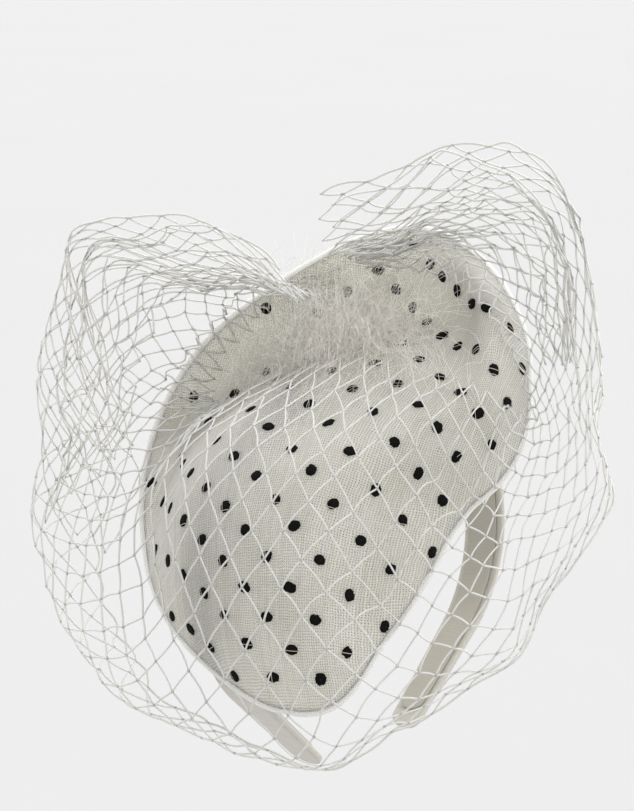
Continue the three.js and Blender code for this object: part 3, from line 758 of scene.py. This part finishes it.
# Headband
# A spring band wrapped in ivory satin runs from behind one ear over the head to the other.
# The satin is glued down, with its cut edge under the lining, and shows soft creases.
BAND_HALF_SPAN = 0.070
BAND_RISE = 0.062
BAND_WIDTH = 0.015
BAND_END_WIDTH = 0.0105
BAND_THICK = 0.0022
ARM_TURN = radians(50)
ARM_TURN_RADIUS = 0.042
ARM_STRAIGHT = 0.041
LINING_THICK = 0.0006
TURN_LENGTH = ARM_TURN_RADIUS * ARM_TURN
ARM_LENGTH = TURN_LENGTH + ARM_STRAIGHT
LINING_DEPTH = BAND_THICK / 2 + TOUCH + LINING_THICK


def band_station(run):
    """Mid line of an arm: across, up, the way out, and the width, from its run in arch degrees
    up to 90 and in metres past that."""
    width = BAND_WIDTH
    if run <= 90:
        angle = radians(run)
        x, z = BAND_HALF_SPAN * sin(angle), BAND_RISE * (cos(angle) - 1)
        way = Vector((sin(angle) / BAND_HALF_SPAN, cos(angle) / BAND_RISE)).normalized()
    else:
        past = run - 90
        width = BAND_WIDTH + (BAND_END_WIDTH - BAND_WIDTH) * past / ARM_LENGTH
        angle = min(past / ARM_TURN_RADIUS, ARM_TURN)
        rest = max(past - TURN_LENGTH, 0)
        x = BAND_HALF_SPAN - ARM_TURN_RADIUS * (1 - cos(angle)) - rest * sin(angle)
        z = -BAND_RISE - ARM_TURN_RADIUS * sin(angle) - rest * cos(angle)
        way = Vector((cos(angle), -sin(angle)))
    return x, z + LINING_DEPTH, way.x, way.y, width


# The section of a flat strip with soft round edges: across and out, as shares of its half
# width and half thickness.
EDGE_SIDES = 6
FACE_STEPS = 8
FLAT_SHARE = 0.92
SOFT_SECTION = []
for way in (1, -1):
    for k in range(EDGE_SIDES + 1):
        turn = pi * k / EDGE_SIDES
        SOFT_SECTION.append((way * (FLAT_SHARE + (1 - FLAT_SHARE) * sin(turn)), way * cos(turn)))
    for k in range(1, FACE_STEPS):
        SOFT_SECTION.append((way * FLAT_SHARE * (1 - 2 * k / FACE_STEPS), -way))

STEPS_A_RIB = 4
TIP_SHARE = 0.1
UNDERSIDE_SHIFT = 0.02


def band_strip(name, finish, stop, share, thick, depth, end_round, steps, rib=0):
    """A strip that follows the band from end to end, with rounded ends. share is its width as
    a share of the band's, and depth how far its middle lies under the band's mid line."""
    arch_steps, arm_steps = steps
    runs = [90 * k / arch_steps for k in range(arch_steps)]
    runs += [90 + stop * k / arm_steps for k in range(arm_steps + 1)]
    stations = [(1, run) for run in reversed(runs[1:])] + [(-1, run) for run in runs]
    rows = []
    uv = []
    run_length = 0
    before = None
    for number, (side, run) in enumerate(stations):
        x, z, out_x, out_z, width = band_station(run)
        left = stop - (run - 90) if run > 90 else stop
        narrow = 1.0
        if left < end_round:
            round_end = max(1 - (1 - left / end_round) ** 2, 0.0) ** 0.5
            narrow = round_end * (1 - TIP_SHARE) + TIP_SHARE
        half = share * width * narrow / 2
        swell = rib * (0.5 - abs((number % STEPS_A_RIB) / STEPS_A_RIB - 0.5)) * 2
        here = Vector((side * x, z))
        run_length += (here - before).length if before else 0
        before = here
        row = []
        for across, out in SOFT_SECTION:
            rise = out * thick / 2 + (swell if out < 0 else 0) * out - depth
            row.append((side * (x + out_x * rise), across * half, z + out_z * rise))
            uv.append((run_length, across * half + UNDERSIDE_SHIFT * (out < 0)))
        rows.append(row)
    count = len(SOFT_SECTION)
    points = [point for row in rows for point in row]
    faces = grid_faces(len(rows), count, True)
    faces.append(tuple(range(count)))
    faces.append(tuple(reversed(range((len(rows) - 1) * count, len(rows) * count))))
    return new_piece(name, points, faces, finish, uv)


# Polyester satin: a smooth cloth with long floats, so it has a soft broad gleam along the
# band, faint cross creases where it is pulled round, and a fine grain.
CREASE_SCALE = (420, 60, 1)  # creases 2.4 mm apart along the band and 17 mm long across it
FLOAT_SCALE = (700, 7000, 1)  # floats 1.4 mm long and 0.14 mm wide
satin, tree, shader = new_finish("ivory_satin")
place = put(tree, "ShaderNodeUVMap", uv_map="weave")
creases_place = put(tree, "ShaderNodeMapping", {"Vector": place.outputs[0], "Scale": CREASE_SCALE})
creases = put(tree, "ShaderNodeTexNoise", {"Vector": creases_place.outputs[0], "Scale": 1, "Detail": 3})
floats_place = put(tree, "ShaderNodeMapping", {"Vector": place.outputs[0], "Scale": FLOAT_SCALE})
floats = put(tree, "ShaderNodeTexNoise", {"Vector": floats_place.outputs[0], "Scale": 1, "Detail": 1})
# The tone follows the creases: painted shade in their hollows and a painted sheen on their ridges.
satin_crease_shading = put(
    tree,
    "ShaderNodeMix",
    {0: creases.outputs[0], 6: linear("#b9b5aa"), 7: linear("#c9c6bb")},
    data_type="RGBA",
)
satin_relief = put(
    tree,
    "ShaderNodeMath",
    {0: floats.outputs[0], 1: 0.12, 2: creases.outputs[0]},
    operation="MULTIPLY_ADD",
)
satin_constants = {"Roughness": 0.42, "Sheen Weight": 0.3}
surface(tree, shader, satin_crease_shading.outputs[2], satin_constants, satin_relief.outputs[0], 0.0005, 0.5)

BAND_END_ROUND = 0.004
BAND_STEPS = (90, 110)
band = band_strip("satin_headband", satin, ARM_LENGTH, 1, BAND_THICK, 0, BAND_END_ROUND, BAND_STEPS)
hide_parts("headband")
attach(band, "root")


# Ribbed lining
# A narrow grosgrain ribbon is glued inside the band, where it rests on the hair.
# Its fine ribs run across, about 1.2 mm apart, and it stops a little short of the band's tips.
LINING_WIDTH = 0.011
LINING_SHORT = 0.006
RIB_PITCH = 0.0012
RIB_RISE = 0.10  # as a share of the ribbon's thickness
LINING_END_ROUND = 0.0035

# Cotton and rayon grosgrain: matt, with a close cross grain and a few slightly worn patches.
GRAIN_SCALE = (2600, 500, 1)  # a grain 0.4 mm wide along the band and 2 mm long across it
WORN_SCALE = 90  # worn patches about 11 mm across
grosgrain, tree, shader = new_finish("grosgrain_ribbon")
place = put(tree, "ShaderNodeUVMap", uv_map="weave")
cross_place = put(tree, "ShaderNodeMapping", {"Vector": place.outputs[0], "Scale": GRAIN_SCALE})
cross_grain = put(tree, "ShaderNodeTexNoise", {"Vector": cross_place.outputs[0], "Scale": 1, "Detail": 2})
blotches = put(tree, "ShaderNodeTexNoise", {"Vector": place.outputs[0], "Scale": WORN_SCALE, "Detail": 2})
ribbon_tone = put(
    tree,
    "ShaderNodeMix",
    {0: cross_grain.outputs[0], 6: linear("#b0aca1"), 7: linear("#bdb9ad")},
    data_type="RGBA",
)
ribbon_worn = put(
    tree,
    "ShaderNodeMix",
    {0: blotches.outputs[0], 6: ribbon_tone.outputs[2], 7: linear("#b1ada1")},
    data_type="RGBA",
)
ribbon_constants = {"Roughness": 0.8, "Sheen Weight": 0.2}
surface(tree, shader, ribbon_worn.outputs[2], ribbon_constants, cross_grain.outputs[0], 0.0002, 0.5)

arch_length = pi / 2 * (BAND_HALF_SPAN + BAND_RISE) / 2
lining_stop = ARM_LENGTH - LINING_SHORT
lining = band_strip(
    "ribbed_lining",
    grosgrain,
    lining_stop,
    LINING_WIDTH / BAND_WIDTH,
    LINING_THICK,
    (BAND_THICK + LINING_THICK) / 2 + TOUCH,
    LINING_END_ROUND,
    [STEPS_A_RIB * round(length / RIB_PITCH) for length in (arch_length, lining_stop)],
    LINING_THICK * RIB_RISE,
)
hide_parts("headband_lining")
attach(lining, "root")


# Mounting pad
# A small block of ivory felt fills the wedge between the band and the inside of the shell.
# It is stitched to both and hardly shows under the rim.
PAD_EDGE = 0.0012
PAD_STEPS = 3
pad_mesh = bpy.data.objects["mounting_pad"].data.copy()
pad_mesh.name = "headband_pad"
pad_work = bmesh.new()
pad_work.from_mesh(pad_mesh)
bmesh.ops.remove_doubles(pad_work, verts=pad_work.verts, dist=0.00001)
bmesh.ops.dissolve_limit(
    pad_work,
    angle_limit=radians(2),
    verts=pad_work.verts,
    edges=pad_work.edges,
)
sharp = [edge for edge in pad_work.edges if edge.is_manifold and edge.calc_face_angle() > radians(30)]
bmesh.ops.bevel(
    pad_work,
    geom=sharp,
    offset=PAD_EDGE,
    offset_type="OFFSET",
    segments=PAD_STEPS,
    profile=0.5,
    affect="EDGES",
)
pad_work.to_mesh(pad_mesh)
pad_work.free()
pad_mesh.shade_smooth()
pad = bpy.data.objects.new("headband_pad", pad_mesh)
bpy.context.collection.objects.link(pad)

# Pressed wool felt: matt, with short matted fibres and a faint mottle.
MOTTLE_SCALE = 900  # matted fibres in clumps of about 1 mm
felt, tree, shader = new_finish("ivory_felt")
place = put(tree, "ShaderNodeTexCoord")
mottle = put(
    tree,
    "ShaderNodeTexNoise",
    {"Vector": place.outputs["Object"], "Scale": MOTTLE_SCALE, "Detail": 4},
)
felt_tone = put(
    tree,
    "ShaderNodeMix",
    {0: mottle.outputs[0], 6: linear("#c9c4b6"), 7: linear("#e2ded2")},
    data_type="RGBA",
)
surface(tree, shader, felt_tone.outputs[2], {"Roughness": 0.95}, mottle.outputs[0], 0.0004, 0.6)
pad_mesh.materials.clear()
pad_mesh.materials.append(felt)
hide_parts("mounting_pad")
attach(pad, "root")


# Net veil
# A strip of diamond millinery net is gathered round the tuft and stands out over the hat.
# It is knotted from fine stiff thread, with a thicker cord along its free edge.
TUFT_ALONG = 0.046
TUFT_FRONT = 0.006
TUFT_RADIUS = 0.011
LOCK_LENGTH = 0.005
VEIL_GATHER_ROOM = 0.0025
NECK_STRETCH = 2.8  # how much longer than wide the gathers are, along the crease
CREASE_CURVE = 8.0  # how the crease bends, per metre
VEIL_NECK_LIFT = 0.0026
VEIL_LIFT = 0.009
VEIL_CLEAR = 0.0068
VEIL_NECK_SHARE = 0.16
OVER_HAT = 1.04  # share of the reach within which the net has to clear the shell
VEIL_OPEN_FROM = 344
VEIL_OPEN_TO = 354
NET_COLUMNS = 88
NET_ROWS = 20
EVEN_SHARE = 0.8
STRAND_RADIUS = 0.00030
HEM_RADIUS = 0.00038
KNOT_RADIUS = 0.00048

# The net's widest place and its hem, a row for each fold round the hat: bearing, widest
# reach, its rise, the hem's reach and the hem's rise. Reaches are shares of HAT_LENGTH, and
# rises are shares of CROWN_HEIGHT.
FOLDS = np.array(
    [
        (354, 0.78, 0.95, 0.93, 1.2),
        (368, 0.86, 0.97, 0.96, 1.24),
        (382, 1.06, 1.02, 1.16, 1.32),
        (395, 1.27, 1, 1.32, 1.24),
        (409, 1.19, 0.6, 1.17, 0.35),
        (422, 1.11, 0.32, 1.09, 0),
        (438, 1.05, 0.2, 1.03, -0.16),
        (452, 1.03, 0.1, 1.01, -0.26),
        (470, 0.99, 0, 0.98, -0.32),
        (486, 0.99, -0.1, 0.99, -0.42),
        (505, 1, -0.1, 0.98, -0.47),
        (527, 1.07, -0.1, 1.05, -0.47),
        (542, 1.12, -0.12, 1.09, -0.42),
        (557, 1.12, -0.05, 1.04, -0.47),
        (572, 1.15, 0.05, 1.03, -0.47),
        (587, 1.19, 0.13, 1.05, -0.42),
        (600, 1.16, 0.2, 1.03, -0.37),
        (614, 1.14, 0.37, 1, -0.26),
        (628, 1.14, 0.58, 1, -0.1),
        (642, 1.21, 0.79, 1.05, 0.1),
        (654, 1.22, 1, 1.15, 0.68),
        (663, 1.22, 1.15, 1.29, 1.2),
        (675, 0.93, 1.1, 1.04, 1.34),
        (690, 0.68, 1.05, 0.75, 1.37),
        (704, 0.53, 0.95, 0.58, 1.26),
    ]
)


# Five stops from the gathers to the hem, and how far out and up the first four of them are
# on the way to the widest place.
VEIL_STOPS = (0, 0.25, 0.5, 0.78, 1)
VEIL_OUTWARD = (0, 0.38, 0.72, 1)
VEIL_RISING = (0, 0.4, 0.75, 1)


def veil_place(bearing, share, draw_in=1.0):
    """A place on the net, from its bearing and its share of the way out to the hem."""
    wide, rise, hem, hem_rise = [curve_through(FOLDS[:, 0], FOLDS[:, k], bearing) for k in range(1, 5)]
    way_along, way_front = np.cos(np.radians(bearing)), np.sin(np.radians(bearing))
    gathers = TUFT_RADIUS + LOCK_LENGTH + VEIL_GATHER_ROOM
    neck_front = TUFT_FRONT + NECK_STRETCH * gathers * way_front
    neck_along = TUFT_ALONG + gathers * way_along - CREASE_CURVE * (neck_front - TUFT_FRONT) ** 2
    wide, hem = HAT_LENGTH * wide * draw_in, HAT_LENGTH * hem * draw_in
    alongs = [neck_along + (wide * way_along - neck_along) * m for m in VEIL_OUTWARD]
    fronts = [neck_front + (wide * way_front - neck_front) * m for m in VEIL_OUTWARD]
    heights = [shell_at(alongs[0], fronts[0])[1] + VEIL_NECK_LIFT]
    for n in (1, 2):
        over_shell = shell_at(alongs[n], fronts[n])[1] + VEIL_LIFT
        heights.append(np.maximum(over_shell, CROWN_HEIGHT * rise * VEIL_RISING[n]))
    heights += [CROWN_HEIGHT * rise, CROWN_HEIGHT * hem_rise]
    alongs.append(hem * way_along)
    fronts.append(hem * way_front)
    along, front, height = [
        curve_through(VEIL_STOPS, column, share) for column in (alongs, fronts, heights)
    ]
    out_share, ground = shell_at(along, front)
    leave = np.clip(share / VEIL_NECK_SHARE, 0, 1)
    clear = VEIL_NECK_LIFT + (VEIL_CLEAR - VEIL_NECK_LIFT) * leave
    height = np.where(out_share < OVER_HAT, np.maximum(height, ground + clear), height)
    return along, front, height


# How far the net waves in and out round the hat, and how far each knot lies off its place.
NET_LOOSE = (0.0019, 0.0004)
SECOND_LOOSE = (0.0030, 0.0008)
HALF_MESH_BOW = 0.10
HEM_BOW = 0.30


def net_threads(counts, span, loose, seed, draw_in=1.0, first_share=0.0):
    """Points and edges of a diamond net on the veil's form: each thread bends from knot to
    knot, and the hem thread hangs in small arcs between the last knots. counts are the half
    meshes round and down, and span the bearings of the strip's two ends."""
    columns, rows = counts
    flute, wobble = loose
    random = np.random.default_rng(seed)
    shifts = random.normal(0, wobble, (columns + 1, rows + 1, 3))
    spots = []
    edges = []
    hem_edges = []

    # The half meshes are even along the widest fold, not in bearing.
    probes = np.linspace(span[0], span[1], 400)
    fold = hat_place(*veil_place(probes, np.full(400, EVEN_SHARE), draw_in))
    runs = np.concatenate(([0], np.cumsum(np.linalg.norm(np.diff(fold, axis=0), axis=1))))

    def net_place(c, r):
        bearing = np.interp(c / columns * runs[-1], runs, probes)
        share = first_share + (1 - first_share) * r / rows
        along, front, height = veil_place(bearing, share, draw_in)
        grow = share**1.3
        turn = np.radians(bearing)
        # Three sets of folds round the hat, 9, 17 and 5 of them, and one set up and down.
        wave = np.sin(9 * turn) + 0.5 * np.sin(17 * turn + 1.2) + 0.5 * np.sin(5 * turn + 6 * share)
        lift = 0.5 * np.sin(13 * turn + 3 * share)
        c0, r0 = np.minimum(c.astype(int), columns - 1), np.minimum(r.astype(int), rows - 1)
        fc, fr = (c - c0)[:, None], (r - r0)[:, None]
        shift = shifts[c0, r0] * (1 - fc) * (1 - fr) + shifts[c0 + 1, r0] * fc * (1 - fr)
        shift = shift + shifts[c0, r0 + 1] * (1 - fc) * fr + shifts[c0 + 1, r0 + 1] * fc * fr
        along = along + flute * grow * wave * np.cos(turn) + shift[:, 0]
        front = front + flute * grow * wave * np.sin(turn) + shift[:, 1]
        height = height + flute * grow * lift + shift[:, 2]
        out_share, ground = shell_at(along, front)
        lowest = ground + VEIL_NECK_LIFT * 0.8
        height = np.where(out_share < OVER_HAT, np.maximum(height, lowest), height)
        return hat_place(along, front, height)

    def spot(c, r, push=0.0):
        spots.append((c, r, push))
        return len(spots) - 1

    index = {}
    for c in range(columns + 1):
        for r in range(c % 2, rows + 1, 2):
            index[c, r] = spot(c, r)
    knots = list(index.values())
    for (c, r), here in list(index.items()):
        for step in (-1, 1):
            there = index.get((c + step, r + 1))
            if there is None:
                continue
            before = here
            for t in (0.25, 0.5, 0.75):
                bow = HALF_MESH_BOW * sin(pi * t) * step
                middle = spot(min(max(c + step * t + bow, 0), columns), r + t)
                edges.append((before, middle))
                before = middle
            edges.append((before, there))
    for c in range(rows % 2, columns - 1, 2):
        before = index[c, rows]
        for t in (0.2, 0.4, 0.6, 0.8):
            arc = spot(c + 2 * t, rows, HEM_BOW * sin(pi * t))
            hem_edges.append((before, arc))
            before = arc
        hem_edges.append((before, index[c + 2, rows]))
    c, r, push = np.array(spots, float).T
    points = net_place(c, r)
    points = points + (points - net_place(c, np.maximum(r - 1, 0))) * push[:, None]
    return points, edges, hem_edges, knots


# Cotton and nylon net thread: off-white, slightly glossy, with a fine twist along it.
TWIST_SCALE = 2500  # the twist repeats about every 0.4 mm
net_thread, tree, shader = new_finish("net_thread")
place = put(tree, "ShaderNodeTexCoord")
twist = put(
    tree,
    "ShaderNodeTexNoise",
    {"Vector": place.outputs["Object"], "Scale": TWIST_SCALE, "Detail": 2},
)
net_tone = put(
    tree,
    "ShaderNodeMix",
    {0: twist.outputs[0], 6: linear("#cccbc6"), 7: linear("#dad9d5")},
    data_type="RGBA",
)
net_constants = {
    "Roughness": 0.5,
    "Subsurface Weight": 0.6,
    "Subsurface Radius": (1, 1, 1),
    "Subsurface Scale": 0.001,
}
surface(tree, shader, net_tone.outputs[2], net_constants, twist.outputs[0], 0.0001, 0.5)


def thread_tree(name, finish):
    """Geometry nodes that turn edges into round threads and put a knot on each marked point."""
    made = bpy.data.node_groups.new(name, "GeometryNodeTree")
    sockets = {}
    for label, kind, way in (
        ("Threads", "NodeSocketGeometry", "INPUT"),
        ("Thread Radius", "NodeSocketFloat", "INPUT"),
        ("Thread Sides", "NodeSocketInt", "INPUT"),
        ("Knot Radius", "NodeSocketFloat", "INPUT"),
        ("Threads", "NodeSocketGeometry", "OUTPUT"),
    ):
        sockets[label, way] = made.interface.new_socket(name=label, in_out=way, socket_type=kind)
    start = put(made, "NodeGroupInput")
    curve = put(made, "GeometryNodeMeshToCurve", {"Mesh": start.outputs["Threads"]})
    ring = put(
        made,
        "GeometryNodeCurvePrimitiveCircle",
        {"Resolution": start.outputs["Thread Sides"], "Radius": start.outputs["Thread Radius"]},
        mode="RADIUS",
    )
    tube = put(
        made,
        "GeometryNodeCurveToMesh",
        {"Curve": curve.outputs[0], "Profile Curve": ring.outputs[0], "Fill Caps": True},
    )
    marked = put(made, "GeometryNodeInputNamedAttribute", {"Name": "knot"}, data_type="FLOAT")
    is_knot = put(made, "FunctionNodeCompare", {0: marked.outputs[0], 1: 0.5}, operation="GREATER_THAN")
    bead = put(
        made,
        "GeometryNodeMeshIcoSphere",
        {"Radius": start.outputs["Knot Radius"], "Subdivisions": 1},
    )
    scatter = put(
        made,
        "FunctionNodeRandomValue",
        {"Seed": 4, 0: (-3.1, -3.1, -3.1), 1: (3.1, 3.1, 3.1)},
        data_type="FLOAT_VECTOR",
    )
    grow = put(made, "FunctionNodeRandomValue", {"Seed": 9, 2: 0.7, 3: 1.25}, data_type="FLOAT")
    beads = put(
        made,
        "GeometryNodeInstanceOnPoints",
        {
            "Points": start.outputs["Threads"],
            "Selection": is_knot.outputs[0],
            "Instance": bead.outputs[0],
            "Rotation": scatter.outputs[0],
            "Scale": grow.outputs[1],
        },
    )
    joined = put(made, "GeometryNodeJoinGeometry")
    made.links.new(tube.outputs[0], joined.inputs[0])
    made.links.new(beads.outputs[0], joined.inputs[0])
    real = put(made, "GeometryNodeRealizeInstances", {"Geometry": joined.outputs[0]})
    soft = put(made, "GeometryNodeSetShadeSmooth", {"Geometry": real.outputs[0]})
    dressed = put(made, "GeometryNodeSetMaterial", {"Geometry": soft.outputs[0], "Material": finish})
    put(made, "NodeGroupOutput", {"Threads": dressed.outputs[0]})
    return made, sockets, finish


def spin_threads(name, points, edges, knots, nodes, radius, sides):
    """Run the threads' nodes on points and edges, and keep the result as a plain mesh."""
    made, sockets, finish = nodes
    bare = bpy.data.meshes.new(name + "_lines")
    bare.from_pydata([tuple(p) for p in points], edges, [])
    marks = np.zeros(len(points), np.float32)
    marks[list(knots)] = 1
    bare.attributes.new("knot", "FLOAT", "POINT").data.foreach_set("value", marks)
    lines = bpy.data.objects.new(name + "_lines", bare)
    bpy.context.collection.objects.link(lines)
    modifier = lines.modifiers.new("threads", "NODES")
    modifier.node_group = made
    modifier[sockets["Thread Radius", "INPUT"].identifier] = radius
    modifier[sockets["Thread Sides", "INPUT"].identifier] = sides
    modifier[sockets["Knot Radius", "INPUT"].identifier] = KNOT_RADIUS
    evaluated = lines.evaluated_get(bpy.context.evaluated_depsgraph_get())
    mesh = bpy.data.meshes.new_from_object(evaluated)
    mesh.name = name
    mesh.materials.clear()
    mesh.materials.append(finish)
    bpy.data.objects.remove(lines)
    result = bpy.data.objects.new(name, mesh)
    bpy.context.collection.objects.link(result)
    return result


net_nodes = thread_tree("knotted_threads", net_thread)
veil_lines = net_threads((NET_COLUMNS, NET_ROWS), (VEIL_OPEN_TO, VEIL_OPEN_FROM + 360), NET_LOOSE, 5)
points, mesh_edges, hem_edges, knots = veil_lines
veil = spin_threads("knotted_veil", points, mesh_edges, knots, net_nodes, STRAND_RADIUS, 4)
hem = spin_threads("veil_hem", points, hem_edges, [], net_nodes, HEM_RADIUS, 5)

# The strip lies double in two of its folds: half meshes, bearings from and to, and the seed.
SECOND_LAYERS = [
    ("veil_back_fold", (18, 14), (612, 700), 8),
    ("veil_top_fold", (16, 14), (358, 424), 13),
]
SECOND_DRAW_IN = 0.92
SECOND_FROM = 0.3
second_layers = []
for name, counts, span, seed in SECOND_LAYERS:
    points, mesh_edges, hem_edges, knots = net_threads(
        counts, span, SECOND_LOOSE, seed, SECOND_DRAW_IN, SECOND_FROM
    )
    layer = spin_threads(name, points, mesh_edges + hem_edges, knots, net_nodes, STRAND_RADIUS, 4)
    second_layers.append(layer)
back_layer, top_layer = second_layers
for part in (veil, hem, back_layer, top_layer):
    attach(part, "root")
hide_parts("veil_net")


# Down tuft
# A small tuft of cream marabou down is stitched over the gathers, in the crease of the hat.
# It has a soft dense heart, and fine curled fibres that stand out of it on all sides.

# Marabou: the softest down, cream-white and matt, with a pale glow at the edges of its fibres.
WISP_SCALE = 700  # tones change from wisp to wisp, about 1.4 mm
down, tree, shader = new_finish("marabou_down")
place = put(tree, "ShaderNodeTexCoord")
wisps = put(
    tree,
    "ShaderNodeTexNoise",
    {"Vector": place.outputs["Object"], "Scale": WISP_SCALE, "Detail": 3},
)
down_tone = put(
    tree,
    "ShaderNodeMix",
    {0: wisps.outputs[0], 6: linear("#fff8e8"), 7: linear("#fffdf6")},
    data_type="RGBA",
)
down_constants = {
    "Roughness": 0.9,
    "Subsurface Weight": 0.25,
    "Subsurface Radius": (1, 1, 1),
    "Subsurface Scale": 0.001,
    "Sheen Weight": 1.0,
}
surface(tree, shader, down_tone.outputs[2], down_constants)

tuft_random = np.random.default_rng(21)
FIBRE_RADIUS = 0.00005
FIBRES = 2500
FIBRE_STEPS = 12
LONG_SHARE = 0.34
LONG_SPREAD = 2.0
HEART_ACROSS, HEART_DEEP = 0.0065, 0.0026
ROOT_LIFT = 0.0025
FIBRE_CLEAR = 0.0006
FIBRE_DROOP = 0.45
DOWN_MIDDLE = (0.0400, -0.001)
size = (FIBRES, 1)
steps = np.linspace(0, 1, FIBRE_STEPS)[None, :]
fibre_bearing = tuft_random.uniform(0, 2 * pi, size)
fibre_lean = np.arccos(tuft_random.uniform(0.05, 1, size))
is_long = tuft_random.uniform(0, 1, size) < LONG_SHARE
long_reach = tuft_random.uniform(0.014, 0.034, size)
fibre_reach = np.where(is_long, long_reach, tuft_random.uniform(0.004, 0.012, size))
curl_turns = tuft_random.uniform(0.4, 2.6, size) * 2 * pi
curl_size = tuft_random.uniform(0.08, 0.26, size) * fibre_reach
curl_start = tuft_random.uniform(0, 2 * pi, size)
root_spread = np.where(is_long, LONG_SPREAD, 1.0)
root_front = DOWN_MIDDLE[1] + root_spread * tuft_random.normal(0, HEART_ACROSS, size)
root_along = DOWN_MIDDLE[0] + root_spread * tuft_random.normal(0, HEART_DEEP, size)
root_along = root_along - CREASE_CURVE * (root_front - DOWN_MIDDLE[1]) ** 2
out = fibre_reach * steps * np.sin(fibre_lean)
rise = fibre_reach * np.cos(fibre_lean) * (steps - FIBRE_DROOP * steps**2)
curl = curl_size * steps
turn = curl_start + curl_turns * steps
along = root_along + out * np.cos(fibre_bearing) + curl * np.cos(turn)
front = root_front + out * np.sin(fibre_bearing) + curl * np.sin(turn)
root_height = shell_at(root_along, root_front)[1]
height = root_height + ROOT_LIFT + rise + curl * np.sin(turn + 1)
out_share, ground = shell_at(along, front)
height = np.maximum(height, ground + FIBRE_CLEAR)
fibre_places = hat_place(along, front, height).reshape(-1, 3)
starts = (np.arange(FIBRES)[:, None] * FIBRE_STEPS + np.arange(FIBRE_STEPS - 1)[None, :]).ravel()
fibre_edges = [(int(n), int(n) + 1) for n in starts]
down_nodes = thread_tree("down_fibres", down)
tuft = spin_threads("marabou_tuft", fibre_places, fibre_edges, [], down_nodes, FIBRE_RADIUS, 3)
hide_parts("down_tuft")
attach(tuft, "root")
